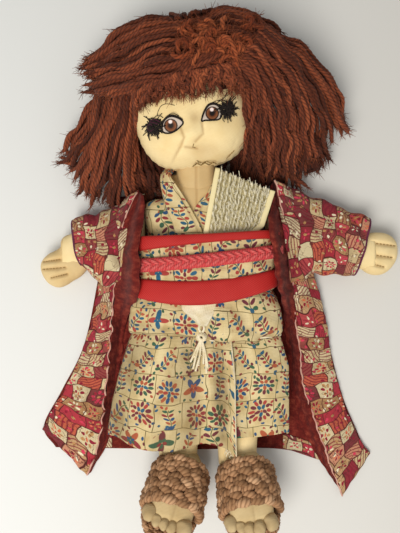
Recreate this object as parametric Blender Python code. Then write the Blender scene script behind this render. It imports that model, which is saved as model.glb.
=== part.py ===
"""Rag doll in a kimono, an obi and an open haori, lying on its back.

Frame: +Z is up and is the doll's front, +Y runs to the head, and the doll's own left
is +X. The origin lies under the middle of the torso, on the flat back of the haori.
Every length is in metres. A table whose name ends in SHARES holds shares of the named
sizes of the piece that it shapes.
"""

import math

import bmesh
import bpy
import numpy as np
from mathutils import Matrix, Vector

# Fits that every piece shares
GAP = 0.0003
CLOTH = 0.0012
LAYER = CLOTH + GAP
CUT_OVERRUN = 0.030
CLOTH_SQUARENESS = 2.5
SOFT_SQUARENESS = 2.3
TORSO_STEPS = 30
FRONT_EDGE_SHARE = 0.97

# Haori back, the sheet that the doll lies on
HAORI_SHOULDER_Y = 0.060
HAORI_LENGTH = 0.218
HAORI_HALF_WIDTH = 0.138

# Torso, from the shoulder line to the seat
TORSO_TOP_Y = 0.057
TORSO_LENGTH = 0.117
TORSO_HALF_WIDTH = 0.056
TORSO_THICKNESS = 0.034
TORSO_REST_Z = CLOTH + GAP + 3.0 * LAYER

# Kimono bodice, its lapels and the overfold at the hips
BODICE_TOP_DROP = 0.0015
NECKLINE_POINT = (-0.0085, 0.046)
NECKLINE_HALF_WIDTH = 0.0185
NECKLINE_DEPTH = 0.006
LAPEL_WIDTH = 0.012
LAPEL_TOP_SHARE = 0.62
LAPEL_SLANT_SHARE = 0.30
OVERFOLD_LENGTH = 0.0225
OVERFOLD_ROOM = 0.0024
OVERFOLD_CLOTH = 0.0022
TUCK_X = 0.0
TUCK_Y = -0.0365
TUCK_WIDTH = 0.021
TUCK_LENGTH = 0.0125

# Obi: printed sash, two red ribbons and a knitted cord
OBI_SLOPE_SHARE = 0.058
OBI_SQUARENESS = 4.6
OBI_FAN_ROOM = 0.0068
OBI_SIDE_ROOM = 0.0022
SASH_TOP_Y = 0.0265
SASH_LENGTH = 0.0530
UPPER_RIBBON_WIDTH = 0.0105
LOWER_RIBBON_WIDTH = 0.0165
KNIT_CORD_Y = 0.0030
KNIT_CORD_WIDTH = 0.0090
KNIT_CORD_THICKNESS = 0.0056
CORD_FULLNESS_SHARE = 0.6

# Waist tie at the foot of the overfold, with its knot and tassel
WAIST_TIE_RISE = 0.0028
WAIST_TIE_WIDTH = 0.0024
WAIST_TIE_THICKNESS = 0.0022
KNOT_X = -0.0034
KNOT_RADIUS = 0.0030
KNOT_RISE = 0.0052
KNOT_SEAT = 0.0010
TASSEL_LENGTH = 0.022
TASSEL_HALF_WIDTH = 0.0052
TASSEL_THICKNESS = 0.0014
TASSEL_SEAT = 0.0007

# Head and neck
HEAD_CENTRE = (-0.011, 0.1255, 0.042)
HEAD_HALF_WIDTH = 0.046
HEAD_HALF_LENGTH = 0.048
HEAD_HALF_DEPTH = 0.038
HEAD_SQUARENESS = 2.3
HEAD_TILT = math.radians(10.0)
HEAD_SEGMENTS = 28
HEAD_RINGS = 18
NOSE_OFFSET = (0.004, -0.033)
NOSE_RADIUS = 0.009
NOSE_HEIGHT = 0.0048
CHEEK_OFFSET = (0.022, -0.026)
CHEEK_RADIUS = 0.014
CHEEK_HEIGHT = 0.0022
NECK_HINGE_Z = 0.040
NECK_CENTRE_X = -0.007
NECK_HALF_WIDTH = 0.0155
NECK_LENGTH = 0.025
NECK_THICKNESS = 0.046
NECK_REST_Z = 0.014

# Eyes, laid on the face with a tuft of lashes at each outer corner
EYE_WIDTH = 0.0160
EYE_HEIGHT = 0.0100
EYE_THICKNESS = 0.0010
EYE_TURN = math.radians(16.0)
EYE_LEFT_SHARES = (0.333, -0.350)
EYE_RIGHT_SHARES = (-0.287, -0.523)
LASH_WIDTH = 0.0110
LASH_HEIGHT = 0.0150
LASH_THICKNESS = 0.0016
LASH_REACH = 0.0148

# Hair of thick yarn, in five sewn bunches round the head
HAIR_BEYOND = 0.054
HAIR_REST_Z = 0.0005
HAIR_RIGHT_HEIGHT = 0.070
HAIR_LEFT_HEIGHT = 0.074
HAIR_CROWN_HEIGHT = 0.0905
HAIR_FRINGE_LOW = 0.046
HAIR_FRINGE_HEIGHT = 0.046
HAIR_BACK_HEIGHT = 0.013
HAIR_SEAT = 0.0006

# Arms inside the haori sleeves, hinged at the side seams
SHOULDER_HINGE_X = 0.054
SHOULDER_HINGE_Z = 0.028
ARM_HALF_WIDTH = 0.0150
ARM_THICKNESS = 0.024
ARM_REST_Z = 0.0040
ARM_LEFT_REACH = 0.1055
ARM_LEFT_DROP = 0.0345
ARM_LEFT_START_Y = 0.0335
ARM_RIGHT_REACH = 0.0810
ARM_RIGHT_DROP = 0.0370
ARM_RIGHT_START_Y = 0.0320
SLEEVE_THICKNESS = 0.0315
SLEEVE_REST_Z = 0.0017
SLEEVE_LEFT_REACH = 0.0780
SLEEVE_LEFT_DEPTH = 0.0735
SLEEVE_LEFT_TOP_Y = 0.0665
SLEEVE_RIGHT_REACH = 0.0515
SLEEVE_RIGHT_DEPTH = 0.0700
SLEEVE_RIGHT_TOP_Y = 0.0570

# Haori fronts, which fall open beside the skirt
FRONT_TOP_Y = -0.0200
FRONT_LEFT_LENGTH = 0.1740
FRONT_LEFT_REACH = 0.1400
FRONT_RIGHT_LENGTH = 0.1560
FRONT_RIGHT_REACH = 0.1380
FRONT_FOLD_HEIGHT = 0.0080
FRONT_FOLDS = 3.0
FRONT_TOP_FOLD_SHARE = 0.35
FRONT_COLUMNS = 18

# Legs, feet and the skirt that wraps them
HIP_HINGE_Z = 0.034
LEG_LENGTH = 0.1030
LEG_HALF_WIDTH = 0.0200
LEG_THICKNESS = 0.0295
LEG_REST_Z = 0.0040
LEG_DRIFT = 0.0120
ANKLE_START_SHARE = 0.85
LEG_LEFT_X = 0.0250
LEG_RIGHT_X = -0.0240
SKIRT_LENGTH = 0.0890
SKIRT_HALF_WIDTH = 0.0605
SKIRT_THICKNESS = 0.0370
SKIRT_REST_Z = 0.0017
SKIRT_WRAP_X = 0.0265
SKIRT_WRAP_STEP = 0.0016
SKIRT_FOLD_DEPTH = 0.0013
SKIRT_FOLDS = 5.0
SKIRT_FOLD_START_SHARE = 0.33
SKIRT_SQUARENESS = 2.8
FOOT_LENGTH = 0.0640
FOOT_HALF_WIDTH = 0.0185
FOOT_HEIGHT = 0.0250
FOOT_PITCH = math.radians(45.0)
FOOT_HEEL_Y = -0.1630
FOOT_HEEL_Z = 0.0093
FOOT_LEFT_X = 0.0320
FOOT_LEFT_TURN = math.radians(8.0)
FOOT_RIGHT_X = -0.0180
FOOT_RIGHT_TURN = math.radians(-17.0)
ANKLE_SEAM = 0.0004

# Crochet sandals
SOLE_LENGTH = 0.0770
SOLE_HALF_WIDTH = 0.0246
SOLE_THICKNESS = 0.0060
SOLE_HEEL_OVERHANG = 0.0060
SOLE_SQUARENESS = 5.0
STRAP_START = 0.0130
STRAP_WIDTH = 0.0340
STRAP_THICKNESS = 0.0050
STRAP_EDGE_SHARE = 0.72
STRAP_SQUARENESS = 2.6
STRAP_ROOM = 0.0008

# Fan, tucked into the obi
FAN_LEFT_FOOT = (0.0445, 0.0325)
FAN_LEFT_TIP = (0.0533, 0.0600)
FAN_RIGHT_FOOT = (0.0004, 0.0262)
FAN_RIGHT_TIP = (0.0098, 0.0760)
FAN_TUCK = 0.0150
FAN_TUCK_SPREAD_SHARE = 0.60
FAN_BASE_Z = 0.0468
FAN_RISE_SHARE = 0.080
FAN_FALL_SHARE = 0.130
FAN_PLEATS = 12
FAN_PLEAT_DEPTH = 0.0018
FAN_PAPER = 0.0008
FAN_GUARD_WIDTH = 0.0036
FAN_GUARD_THICKNESS = 0.0022

# Section tables, top to bottom or base to tip
# Torso rows: distance down, half width, low side, high side
TORSO_SHARES = (
    (0.000, 0.36, 0.18, 1.00),
    (0.045, 0.71, 0.06, 1.00),
    (0.130, 0.81, 0.00, 1.01),
    (0.320, 0.795, 0.00, 1.00),
    (0.490, 0.785, 0.00, 1.00),
    (0.755, 0.80, 0.00, 1.00),
    (0.860, 0.97, 0.00, 1.00),
    (0.930, 0.95, 0.03, 0.92),
    (0.9985, 0.82, 0.12, 0.735),
)
# Neck rows: distance up, half width, low side, high side
NECK_SHARES = ((0.0, 0.82, 0.0, 0.55), (0.20, 0.94, 0.04, 0.60), (0.52, 1.0, 0.13, 0.82), (1.0, 1.0, 0.26, 1.0))
# Arm rows: reach, drop, half width above, half width below, low side, high side
ARM_SHARES = (
    (0.000, 0.00, 0.80, 0.80, 0.12, 0.78),
    (0.095, 0.03, 0.86, 0.86, 0.04, 0.94),
    (0.380, 0.24, 0.86, 0.86, 0.00, 1.00),
    (0.600, 0.44, 0.74, 0.74, 0.04, 0.92),
    (0.690, 0.54, 0.95, 0.78, 0.08, 0.88),
    (0.760, 0.62, 1.22, 0.88, 0.10, 0.86),
    (0.840, 0.74, 0.92, 0.96, 0.12, 0.82),
    (0.930, 0.88, 0.80, 0.86, 0.16, 0.74),
    (1.000, 1.00, 0.42, 0.46, 0.26, 0.62),
)
# Sleeve rows: upper edge reach and drop, lower edge reach and drop, low side, high side
SLEEVE_LEFT_SHARES = (
    (0.000, 0.000, 0.190, 0.945, 0.00, 0.83),
    (0.100, 0.014, 0.280, 0.966, 0.00, 0.91),
    (0.385, 0.120, 0.487, 0.986, 0.00, 1.00),
    (0.705, 0.238, 0.705, 1.000, 0.01, 0.97),
    (1.000, 0.347, 0.846, 0.993, 0.02, 0.92),
)
SLEEVE_RIGHT_SHARES = (
    (0.000, 0.000, 0.300, 0.986, 0.00, 0.83),
    (0.144, 0.057, 0.415, 1.000, 0.00, 0.91),
    (0.493, 0.150, 0.650, 0.970, 0.00, 1.00),
    (0.800, 0.214, 0.820, 0.870, 0.01, 0.97),
    (1.000, 0.270, 0.900, 0.830, 0.02, 0.92),
)
# Leg rows: distance down, half width, low side, high side
LEG_SHARES = (
    (0.00, 0.98, 0.20, 0.84),
    (0.07, 1.04, 0.05, 0.97),
    (0.30, 1.00, 0.03, 1.00),
    (0.60, 0.78, 0.03, 0.95),
    (0.85, 0.62, 0.05, 0.84),
    (0.93, 0.56, 0.12, 0.76),
    (1.00, 0.40, 0.28, 0.62),
)
# Foot rows: distance from heel to toe, half width, low side, high side
FOOT_SHARES = (
    (0.00, 0.45, 0.16, 0.55),
    (0.06, 0.72, 0.04, 0.84),
    (0.20, 0.86, 0.00, 1.00),
    (0.45, 0.90, 0.00, 0.85),
    (0.74, 1.00, 0.00, 0.66),
    (0.92, 0.93, 0.03, 0.56),
    (1.00, 0.66, 0.12, 0.42),
)
# Sole rows: distance from heel to toe, half width
SOLE_SHARES = ((0.0, 0.42), (0.05, 0.70), (0.16, 0.90), (0.50, 0.98), (0.80, 1.0), (0.94, 0.78), (1.0, 0.45))
# Skirt rows: distance down, half width at the doll's right and left, low side, high side
SKIRT_SHARES = (
    (0.00, 0.98, 0.99, 0.00, 0.875),
    (0.06, 1.02, 1.02, 0.00, 0.99),
    (0.30, 1.12, 1.07, 0.00, 1.00),
    (0.62, 1.24, 1.15, 0.00, 0.96),
    (1.00, 1.36, 1.18, 0.00, 0.88),
)
# Tassel rows: distance down, half width
TASSEL_SHARES = ((0.0, 0.35), (0.15, 0.55), (0.6, 0.85), (1.0, 1.0))
# Haori back rows: distance down, edge at the doll's right and left
HAORI_BACK_SHARES = (
    (0.000, 0.30, 0.38),
    (0.060, 0.44, 0.46),
    (0.330, 0.58, 0.62),
    (0.405, 0.66, 0.72),
    (0.590, 0.76, 0.77),
    (0.730, 0.87, 0.83),
    (0.905, 1.00, 0.94),
    (1.000, 0.80, 0.99),
)
# Haori front rows: inner edge reach and drop, outer edge reach and drop
FRONT_LEFT_SHARES = (
    (0.515, 0.000, 0.680, 0.000),
    (0.530, 0.090, 0.712, 0.090),
    (0.560, 0.270, 0.748, 0.235),
    (0.630, 0.420, 0.795, 0.400),
    (0.680, 0.610, 0.850, 0.565),
    (0.735, 0.790, 0.935, 0.700),
    (0.785, 0.925, 0.990, 0.815),
    (0.842, 0.998, 0.940, 0.950),
)
FRONT_RIGHT_SHARES = (
    (0.560, 0.000, 0.630, 0.000),
    (0.566, 0.070, 0.665, 0.070),
    (0.578, 0.240, 0.700, 0.190),
    (0.585, 0.400, 0.755, 0.330),
    (0.592, 0.560, 0.800, 0.460),
    (0.618, 0.720, 0.880, 0.570),
    (0.655, 0.860, 0.998, 0.750),
    (0.700, 0.985, 0.900, 0.860),
)
# Hair outlines: across and along from the middle of the head
HAIR_RIGHT_SHARES = (
    (-0.393, 0.500), (-0.670, 0.465), (-0.840, 0.325), (-0.880, 0.125), (-0.970, -0.135), (-1.030, -0.335),
    (-1.000, -0.465), (-0.850, -0.575), (-0.630, -0.610), (-0.450, -0.590), (-0.393, -0.540),
)
HAIR_LEFT_SHARES = (
    (0.453, -0.430), (0.520, -0.510), (0.690, -0.545), (0.910, -0.530), (1.110, -0.375), (1.140, -0.265),
    (1.230, -0.130), (1.190, 0.050), (1.080, 0.255), (0.910, 0.405), (0.670, 0.525), (0.453, 0.530),
)
HAIR_CROWN_SHARES = (
    (-0.390, 0.245), (0.450, 0.245), (0.450, 0.585), (0.350, 0.690), (0.200, 0.745), (0.060, 0.720),
    (-0.010, 0.660), (-0.120, 0.665), (-0.270, 0.615), (-0.390, 0.505),
)
HAIR_FRINGE_SHARES = (
    (-0.390, -0.070), (-0.140, 0.020), (0.130, 0.060), (0.330, 0.050), (0.450, 0.080), (0.450, 0.242),
    (-0.390, 0.242),
)
HAIR_BACK_SHARES = (
    (-0.390, -0.410), (-0.200, -0.450), (0.350, -0.450), (0.450, -0.380), (0.450, 0.242), (-0.390, 0.242),
)
# Levels of a rounded bunch of hair: height and outline scale
HAIR_DOME_SHARES = ((0.0, 0.955), (0.10, 1.0), (0.55, 1.0), (0.82, 0.93), (0.95, 0.80), (1.0, 0.66))
HAIR_SLAB_SHARES = ((0.0, 1.0), (1.0, 1.0))
HAIR_BLOCK_SHARES = ((0.0, 1.0), (0.60, 1.0), (0.86, 0.97), (1.0, 0.86))
# How a bunch's top falls away: start of the fall across and along, fall outwards and fall along
HAIR_RIGHT_FALL_SHARES = (-0.40, 0.50, -0.40, -0.62)
HAIR_LEFT_FALL_SHARES = (0.45, 0.50, 0.56, -0.45)
HAIR_CROWN_FALL_SHARES = (0.0, 0.245, 0.0, 0.84)
HAIR_LEVEL_SHARES = (0.0, 0.0, 0.0, 0.0)
# Outline of one eye: across and along from its middle
EYE_OUTLINE_SHARES = (
    (-0.50, -0.12), (-0.34, 0.20), (-0.12, 0.45), (0.12, 0.50), (0.34, 0.34), (0.50, 0.02),
    (0.32, -0.34), (0.08, -0.50), (-0.18, -0.48), (-0.38, -0.34),
)
LASH_OUTLINE_SHARES = (
    (0.30, -0.50), (0.50, -0.10), (0.42, 0.20), (0.10, 0.50), (-0.30, 0.30), (-0.50, -0.10), (-0.20, -0.42),
)

PARTS_NAME = "rag_doll"
CUTTERS_NAME = "rag_doll_cutters"


def clear_scene():
    """Removes every object that the file starts with."""
    for obj in list(bpy.data.objects):
        bpy.data.objects.remove(obj, do_unlink=True)


def new_collection(name):
    """Makes a collection under the scene's own."""
    collection = bpy.data.collections.new(name)
    bpy.context.scene.collection.children.link(collection)
    return collection


def new_material(name, colour, roughness, metallic=0.0):
    """Makes one Principled material."""
    material = bpy.data.materials.new(name)
    material.use_nodes = True
    shader = material.node_tree.nodes["Principled BSDF"]
    shader.inputs["Base Color"].default_value = (*colour, 1.0)
    shader.inputs["Roughness"].default_value = roughness
    shader.inputs["Metallic"].default_value = metallic
    material.diffuse_color = (*colour, 1.0)
    return material


def mesh_object(name, vertices, faces, collection, material=None):
    """Makes an object of vertices and faces, with its faces pointing out."""
    mesh = bpy.data.meshes.new(name)
    mesh.from_pydata([tuple(v) for v in vertices], [], [tuple(f) for f in faces])
    work = bmesh.new()
    work.from_mesh(mesh)
    bmesh.ops.recalc_face_normals(work, faces=work.faces)
    work.to_mesh(mesh)
    work.free()
    mesh.shade_smooth()
    mesh.set_sharp_from_angle(angle=math.radians(50.0))
    obj = bpy.data.objects.new(name, mesh)
    collection.objects.link(obj)
    if material is not None:
        obj.data.materials.append(material)
    return obj


def bridge(count, rows, open_rows=False):
    """Lists the faces between neighbouring closed rings of points."""
    faces = []
    for row in range(rows if open_rows else rows - 1):
        after = (row + 1) % rows
        for i in range(count):
            j = (i + 1) % count
            faces.append((row * count + i, row * count + j, after * count + j, after * count + i))
    return faces


def loft(name, rings, collection, material=None):
    """Joins closed rings of points into one solid with a flat cap at each end."""
    count = len(rings[0])
    faces = bridge(count, len(rings))
    faces.append(tuple(reversed(range(count))))
    faces.append(tuple(range((len(rings) - 1) * count, len(rings) * count)))
    return mesh_object(name, [p for ring in rings for p in ring], faces, collection, material)


def loop_loft(name, rings, collection, material=None):
    """Joins closed rings of points into a closed hoop, the last ring to the first."""
    faces = bridge(len(rings[0]), len(rings), open_rows=True)
    return mesh_object(name, [p for ring in rings for p in ring], faces, collection, material)


def cut(obj, cutter, operation="DIFFERENCE"):
    """Cuts an object by a cutter, or keeps what both share."""
    boolean = obj.modifiers.new("cut", "BOOLEAN")
    boolean.operation = operation
    boolean.solver = "EXACT"
    boolean.object = cutter
    return obj


def mark_cutter(obj):
    """Shows a cutter as wire and keeps it out of the model."""
    obj.hide_render = True
    obj.display_type = "WIRE"
    return obj


def set_origin(obj, point):
    """Moves an object's origin to its joint without moving its shape."""
    obj.data.transform(Matrix.Translation(-Vector(point)))
    obj.location = point


def squarish(angle, squareness):
    """Returns the unit point of a superellipse at an angle."""
    power = 2.0 / squareness
    across = math.copysign(abs(math.cos(angle)) ** power, math.cos(angle))
    up = math.copysign(abs(math.sin(angle)) ** power, math.sin(angle))
    return across, up


def flat_ring(start, end, low, high, steps, squareness):
    """Makes a ring between two plan points, from its low to its high side."""
    start = np.array(start)
    end = np.array(end)
    middle = (start + end) / 2.0
    half = (end - start) / 2.0
    ring = []
    for i in range(steps):
        across, up = squarish(2.0 * math.pi * i / steps, squareness)
        plan = middle + half * across
        ring.append((plan[0], plan[1], (low + high) / 2.0 + (high - low) / 2.0 * up))
    return ring


def turned(rings, matrix):
    """Moves rings of points by a matrix."""
    return [[tuple(matrix @ Vector(point)) for point in ring] for ring in rings]


def torso_section(y):
    """Returns the torso's half width, low side and high side at a place along it."""
    rows = np.array(TORSO_SHARES)
    down = (TORSO_TOP_Y - y) / TORSO_LENGTH
    half = TORSO_HALF_WIDTH * np.interp(down, rows[:, 0], rows[:, 1])
    low = TORSO_REST_Z + TORSO_THICKNESS * np.interp(down, rows[:, 0], rows[:, 2])
    high = TORSO_REST_Z + TORSO_THICKNESS * np.interp(down, rows[:, 0], rows[:, 3])
    return half, low, high


def round_torso(angle, y, outward, rise, slope, squareness=CLOTH_SQUARENESS, side_room=0.0):
    """Returns a point that lies outward of the torso, on a loop that may slope."""
    across, up = squarish(angle, squareness)
    place = y
    for _ in range(3):
        half, low, high = torso_section(place)
        x = (half + outward + side_room) * across
        place = y + slope * x
    middle = (low + high) / 2.0
    reach = (high + rise - middle + outward) if up > 0.0 else (middle - low + outward)
    return x, place, middle + reach * up


def wrap_places(top, length):
    """Lists the places of a wrap's rings: both its ends and the torso's own rows."""
    places = [TORSO_TOP_Y - TORSO_LENGTH * row[0] for row in TORSO_SHARES]
    inside = [y for y in places if top - length + CLOTH < y < top - CLOTH]
    return [top] + inside + [top - length]


def wrap(name, top, length, outward, wall, collection, material, rise=0.0, slope=0.0,
         squareness=CLOTH_SQUARENESS, side_room=0.0):
    """Wraps cloth round the torso as a tube of one wall."""
    rings = []
    places = wrap_places(top, length)
    for side, order in ((0, places), (1, places[::-1])):
        for y in order:
            ring = []
            for i in range(TORSO_STEPS):
                angle = 2.0 * math.pi * i / TORSO_STEPS
                ring.append(round_torso(angle, y, outward + wall * side, rise, slope, squareness, side_room))
            rings.append(ring)
    return loop_loft(name, rings, collection, material)


def cord_round(name, middle, width, outward, back, front, collection, material, rise=0.0,
               slope=0.0, squareness=CLOTH_SQUARENESS, side_room=0.0, sides=8):
    """Wraps a rounded cord round the torso, thin under the back and full in front."""
    rings = []
    for k in range(sides):
        turn = 2.0 * math.pi * k / sides
        along = width / 2.0 * math.sin(turn)
        depth_share = (1.0 - math.cos(turn)) / 2.0
        ring = []
        for i in range(TORSO_STEPS):
            angle = 2.0 * math.pi * i / TORSO_STEPS
            fullness = (1.0 + math.sin(angle)) / 2.0
            depth = (back + (front - back) * fullness ** CORD_FULLNESS_SHARE) * depth_share
            ring.append(round_torso(angle, middle + along, outward + depth, rise, slope, squareness, side_room))
        rings.append(ring)
    return loop_loft(name, rings, collection, material)


def make_torso(parts, skin):
    """Makes the stuffed torso."""
    rings = []
    for row in TORSO_SHARES:
        y = TORSO_TOP_Y - TORSO_LENGTH * row[0]
        angles = [2.0 * math.pi * i / TORSO_STEPS for i in range(TORSO_STEPS)]
        rings.append([round_torso(angle, y, 0.0, 0.0, 0.0) for angle in angles])
    return loft("torso", rings, parts, skin)


def chest_height(x, y):
    """Returns the height of the bodice's outside at a plan point in front."""
    half, low, high = torso_section(min(y, TORSO_TOP_Y - TORSO_LENGTH * TORSO_SHARES[2][0]))
    middle = (low + high) / 2.0
    share = min(abs(x) / (half + LAYER), FRONT_EDGE_SHARE)
    return middle + (high - middle + LAYER) * (1.0 - share ** CLOTH_SQUARENESS) ** (1.0 / CLOTH_SQUARENESS)


def laid_panel(name, left_edge, right_edge, columns, height, wall, collection, material):
    """Lays a strip of cloth between two edges, on a height worked out for each point."""
    rows = len(left_edge)
    vertices = []
    for a, b in zip(left_edge, right_edge):
        for i in range(columns + 1):
            share = i / columns
            x = a[0] + (b[0] - a[0]) * share
            y = a[1] + (b[1] - a[1]) * share
            vertices.append((x, y, height(x, y, share)))
    faces = []
    for row in range(rows - 1):
        for i in range(columns):
            start = row * (columns + 1) + i
            faces.append((start, start + 1, start + columns + 2, start + columns + 1))
    top = len(vertices)
    vertices += [(x, y, z + wall) for x, y, z in vertices]
    faces += [tuple(reversed([top + v for v in face])) for face in faces]
    rim = list(range(columns + 1))
    rim += [row * (columns + 1) + columns for row in range(1, rows)]
    rim += [(rows - 1) * (columns + 1) + i for i in range(columns - 1, -1, -1)]
    rim += [row * (columns + 1) for row in range(rows - 2, 0, -1)]
    for k, start in enumerate(rim):
        end = rim[(k + 1) % len(rim)]
        faces.append((start, top + start, top + end, end))
    return mesh_object(name, vertices, faces, collection, material)


def line_points(start, end, count):
    """Returns evenly spaced plan points from start to end."""
    shares = np.linspace(0.0, 1.0, count)
    return [tuple(np.array(start) + (np.array(end) - np.array(start)) * s) for s in shares]


def make_bodice(parts, cutters, kimono):
    """Makes the kimono's bodice, with its V neckline cut out of the front."""
    top = TORSO_TOP_Y - BODICE_TOP_DROP
    seat = TORSO_TOP_Y - TORSO_LENGTH + GAP
    bodice = wrap("kimono_bodice", top, top - seat, GAP, CLOTH, parts, kimono)
    x, y = NECKLINE_POINT
    _, _, high = torso_section(y)
    opening = [
        (x, y),
        (x + NECKLINE_HALF_WIDTH, top + CUT_OVERRUN),
        (x - NECKLINE_HALF_WIDTH, top + CUT_OVERRUN),
    ]
    rings = [[(px, py, z) for px, py in opening] for z in (high - NECKLINE_DEPTH, high + CUT_OVERRUN)]
    neckline = mark_cutter(loft("neckline_cutter", rings, cutters))
    return cut(bodice, neckline)


def make_lapels(parts, kimono):
    """Makes the two crossed lapels, the right one folded over the left."""
    collar_y = TORSO_TOP_Y + LAPEL_WIDTH
    sash_top = SASH_TOP_Y - GAP
    x, y = NECKLINE_POINT
    rise = GAP

    def on_chest(px, py, share):
        return chest_height(px, py) + rise

    top_width = LAPEL_WIDTH * LAPEL_TOP_SHARE
    over_top = x - NECKLINE_HALF_WIDTH
    over_foot = x + (y - sash_top) * LAPEL_SLANT_SHARE
    right_edge = line_points((over_top, collar_y), (over_foot, sash_top), 7)
    left_edge = line_points((over_top - top_width, collar_y), (over_foot - LAPEL_WIDTH, sash_top), 7)
    laid_panel("kimono_lapel_right", left_edge, right_edge, 3, on_chest, CLOTH, parts, kimono)
    under_top = x + NECKLINE_HALF_WIDTH + GAP
    inner = line_points((under_top, collar_y), (x + LAYER, y + LAYER), 6)
    outer = line_points((under_top + top_width, collar_y), (over_foot + 2.0 * LAYER, sash_top + LAYER), 6)
    laid_panel("kimono_lapel_left", inner, outer, 3, on_chest, CLOTH, parts, kimono)


def make_obi(parts, print_cloth, red, pink):
    """Makes the printed sash, the two red ribbons and the knitted cord."""
    shared = {"rise": OBI_FAN_ROOM, "slope": OBI_SLOPE_SHARE, "squareness": OBI_SQUARENESS,
              "side_room": OBI_SIDE_ROOM}
    sash = GAP + LAYER
    ribbon = sash + LAYER
    wrap("obi_sash", SASH_TOP_Y, SASH_LENGTH, sash, CLOTH, parts, print_cloth, **shared)
    wrap("obi_ribbon_upper", SASH_TOP_Y, UPPER_RIBBON_WIDTH, ribbon, CLOTH, parts, red, **shared)
    lower_top = SASH_TOP_Y - SASH_LENGTH + LOWER_RIBBON_WIDTH
    wrap("obi_ribbon_lower", lower_top, LOWER_RIBBON_WIDTH, ribbon, CLOTH, parts, red, **shared)
    cord_round("obi_cord", KNIT_CORD_Y, KNIT_CORD_WIDTH, ribbon, CLOTH, KNIT_CORD_THICKNESS, parts, pink, **shared)


def make_overfold(parts, kimono, cream):
    """Makes the kimono's overfold, its tucked plain fold and the waist tie."""
    outward = GAP + LAYER
    shared = {"rise": OVERFOLD_CLOTH, "slope": OBI_SLOPE_SHARE, "side_room": OVERFOLD_ROOM}
    top = SASH_TOP_Y - SASH_LENGTH - GAP
    wrap("kimono_overfold", top, OVERFOLD_LENGTH, outward, CLOTH, parts, kimono, **shared)
    tie_y = top - OVERFOLD_LENGTH + WAIST_TIE_RISE
    cord_round("waist_tie", tie_y, WAIST_TIE_WIDTH, outward + LAYER, CLOTH, WAIST_TIE_THICKNESS, parts, cream,
               sides=6, **shared)

    def on_overfold(px, py, share):
        return chest_height(px, py) + OVERFOLD_CLOTH + LAYER + GAP

    left = line_points((TUCK_X - TUCK_WIDTH / 2.0, TUCK_Y + TUCK_LENGTH / 2.0),
                       (TUCK_X - TUCK_WIDTH / 2.0, TUCK_Y - TUCK_LENGTH / 2.0), 4)
    right = [(x + TUCK_WIDTH, y) for x, y in left]
    laid_panel("kimono_tuck", left, right, 4, on_overfold, CLOTH, parts, cream)
    knot_y = top - OVERFOLD_LENGTH + KNOT_RISE
    tie_top = chest_height(KNOT_X, knot_y) + OVERFOLD_CLOTH + LAYER + WAIST_TIE_THICKNESS
    height = tie_top + KNOT_RADIUS + 2.0 * GAP - KNOT_SEAT
    work = bmesh.new()
    bmesh.ops.create_uvsphere(work, u_segments=12, v_segments=8, radius=KNOT_RADIUS)
    mesh = bpy.data.meshes.new("waist_knot")
    work.to_mesh(mesh)
    work.free()
    mesh.shade_smooth()
    mesh.materials.append(cream)
    knot = bpy.data.objects.new("waist_knot", mesh)
    knot.location = (KNOT_X, knot_y, height)
    parts.objects.link(knot)


def head_point(unit, grow):
    """Maps a unit direction to the surface of the head, grown by a seat."""
    size = sum(abs(c) ** HEAD_SQUARENESS for c in unit) ** (-1.0 / HEAD_SQUARENESS)
    point = Vector((unit[0] * size * (HEAD_HALF_WIDTH + grow), unit[1] * size * (HEAD_HALF_LENGTH + grow),
                    unit[2] * size * (HEAD_HALF_DEPTH + grow)))
    return Matrix.Rotation(HEAD_TILT, 4, "Z") @ point + Vector(HEAD_CENTRE)


def feature_rise(x, y):
    """Returns how far the nose and cheeks stand out at a plan point of the face."""
    plan = Matrix.Rotation(-HEAD_TILT, 3, "Z") @ Vector((x - HEAD_CENTRE[0], y - HEAD_CENTRE[1], 0.0))
    bumps = [(NOSE_OFFSET, NOSE_RADIUS, NOSE_HEIGHT), (CHEEK_OFFSET, CHEEK_RADIUS, CHEEK_HEIGHT)]
    bumps.append(((-CHEEK_OFFSET[0], CHEEK_OFFSET[1]), CHEEK_RADIUS, CHEEK_HEIGHT))
    rise = 0.0
    for place, radius, height in bumps:
        away = math.hypot(plan.x - place[0], plan.y - place[1]) / radius
        rise += height * math.exp(-away * away)
    return rise


def face_height(x, y):
    """Returns the height of the face at a plan point."""
    plan = Matrix.Rotation(-HEAD_TILT, 3, "Z") @ Vector((x - HEAD_CENTRE[0], y - HEAD_CENTRE[1], 0.0))
    used = abs(plan.x / HEAD_HALF_WIDTH) ** HEAD_SQUARENESS + abs(plan.y / HEAD_HALF_LENGTH) ** HEAD_SQUARENESS
    fullness = max(0.0, 1.0 - used) ** (1.0 / HEAD_SQUARENESS)
    return HEAD_CENTRE[2] + HEAD_HALF_DEPTH * fullness + feature_rise(x, y) * fullness


def head_solid(name, grow, features, collection, material=None):
    """Makes the head as a squared ball, with a nose and cheeks if asked."""
    work = bmesh.new()
    bmesh.ops.create_uvsphere(work, u_segments=HEAD_SEGMENTS, v_segments=HEAD_RINGS, radius=1.0)
    turn = Matrix.Rotation(math.radians(90.0), 3, "X")
    for vertex in work.verts:
        unit = turn @ vertex.co
        vertex.co = head_point(unit, grow)
        if features and unit.z > 0.0:
            fullness = (vertex.co.z - HEAD_CENTRE[2]) / HEAD_HALF_DEPTH
            vertex.co.z += feature_rise(vertex.co.x, vertex.co.y) * fullness
    mesh = bpy.data.meshes.new(name)
    work.to_mesh(mesh)
    work.free()
    mesh.shade_smooth()
    if material is not None:
        mesh.materials.append(material)
    obj = bpy.data.objects.new(name, mesh)
    collection.objects.link(obj)
    return obj


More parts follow.
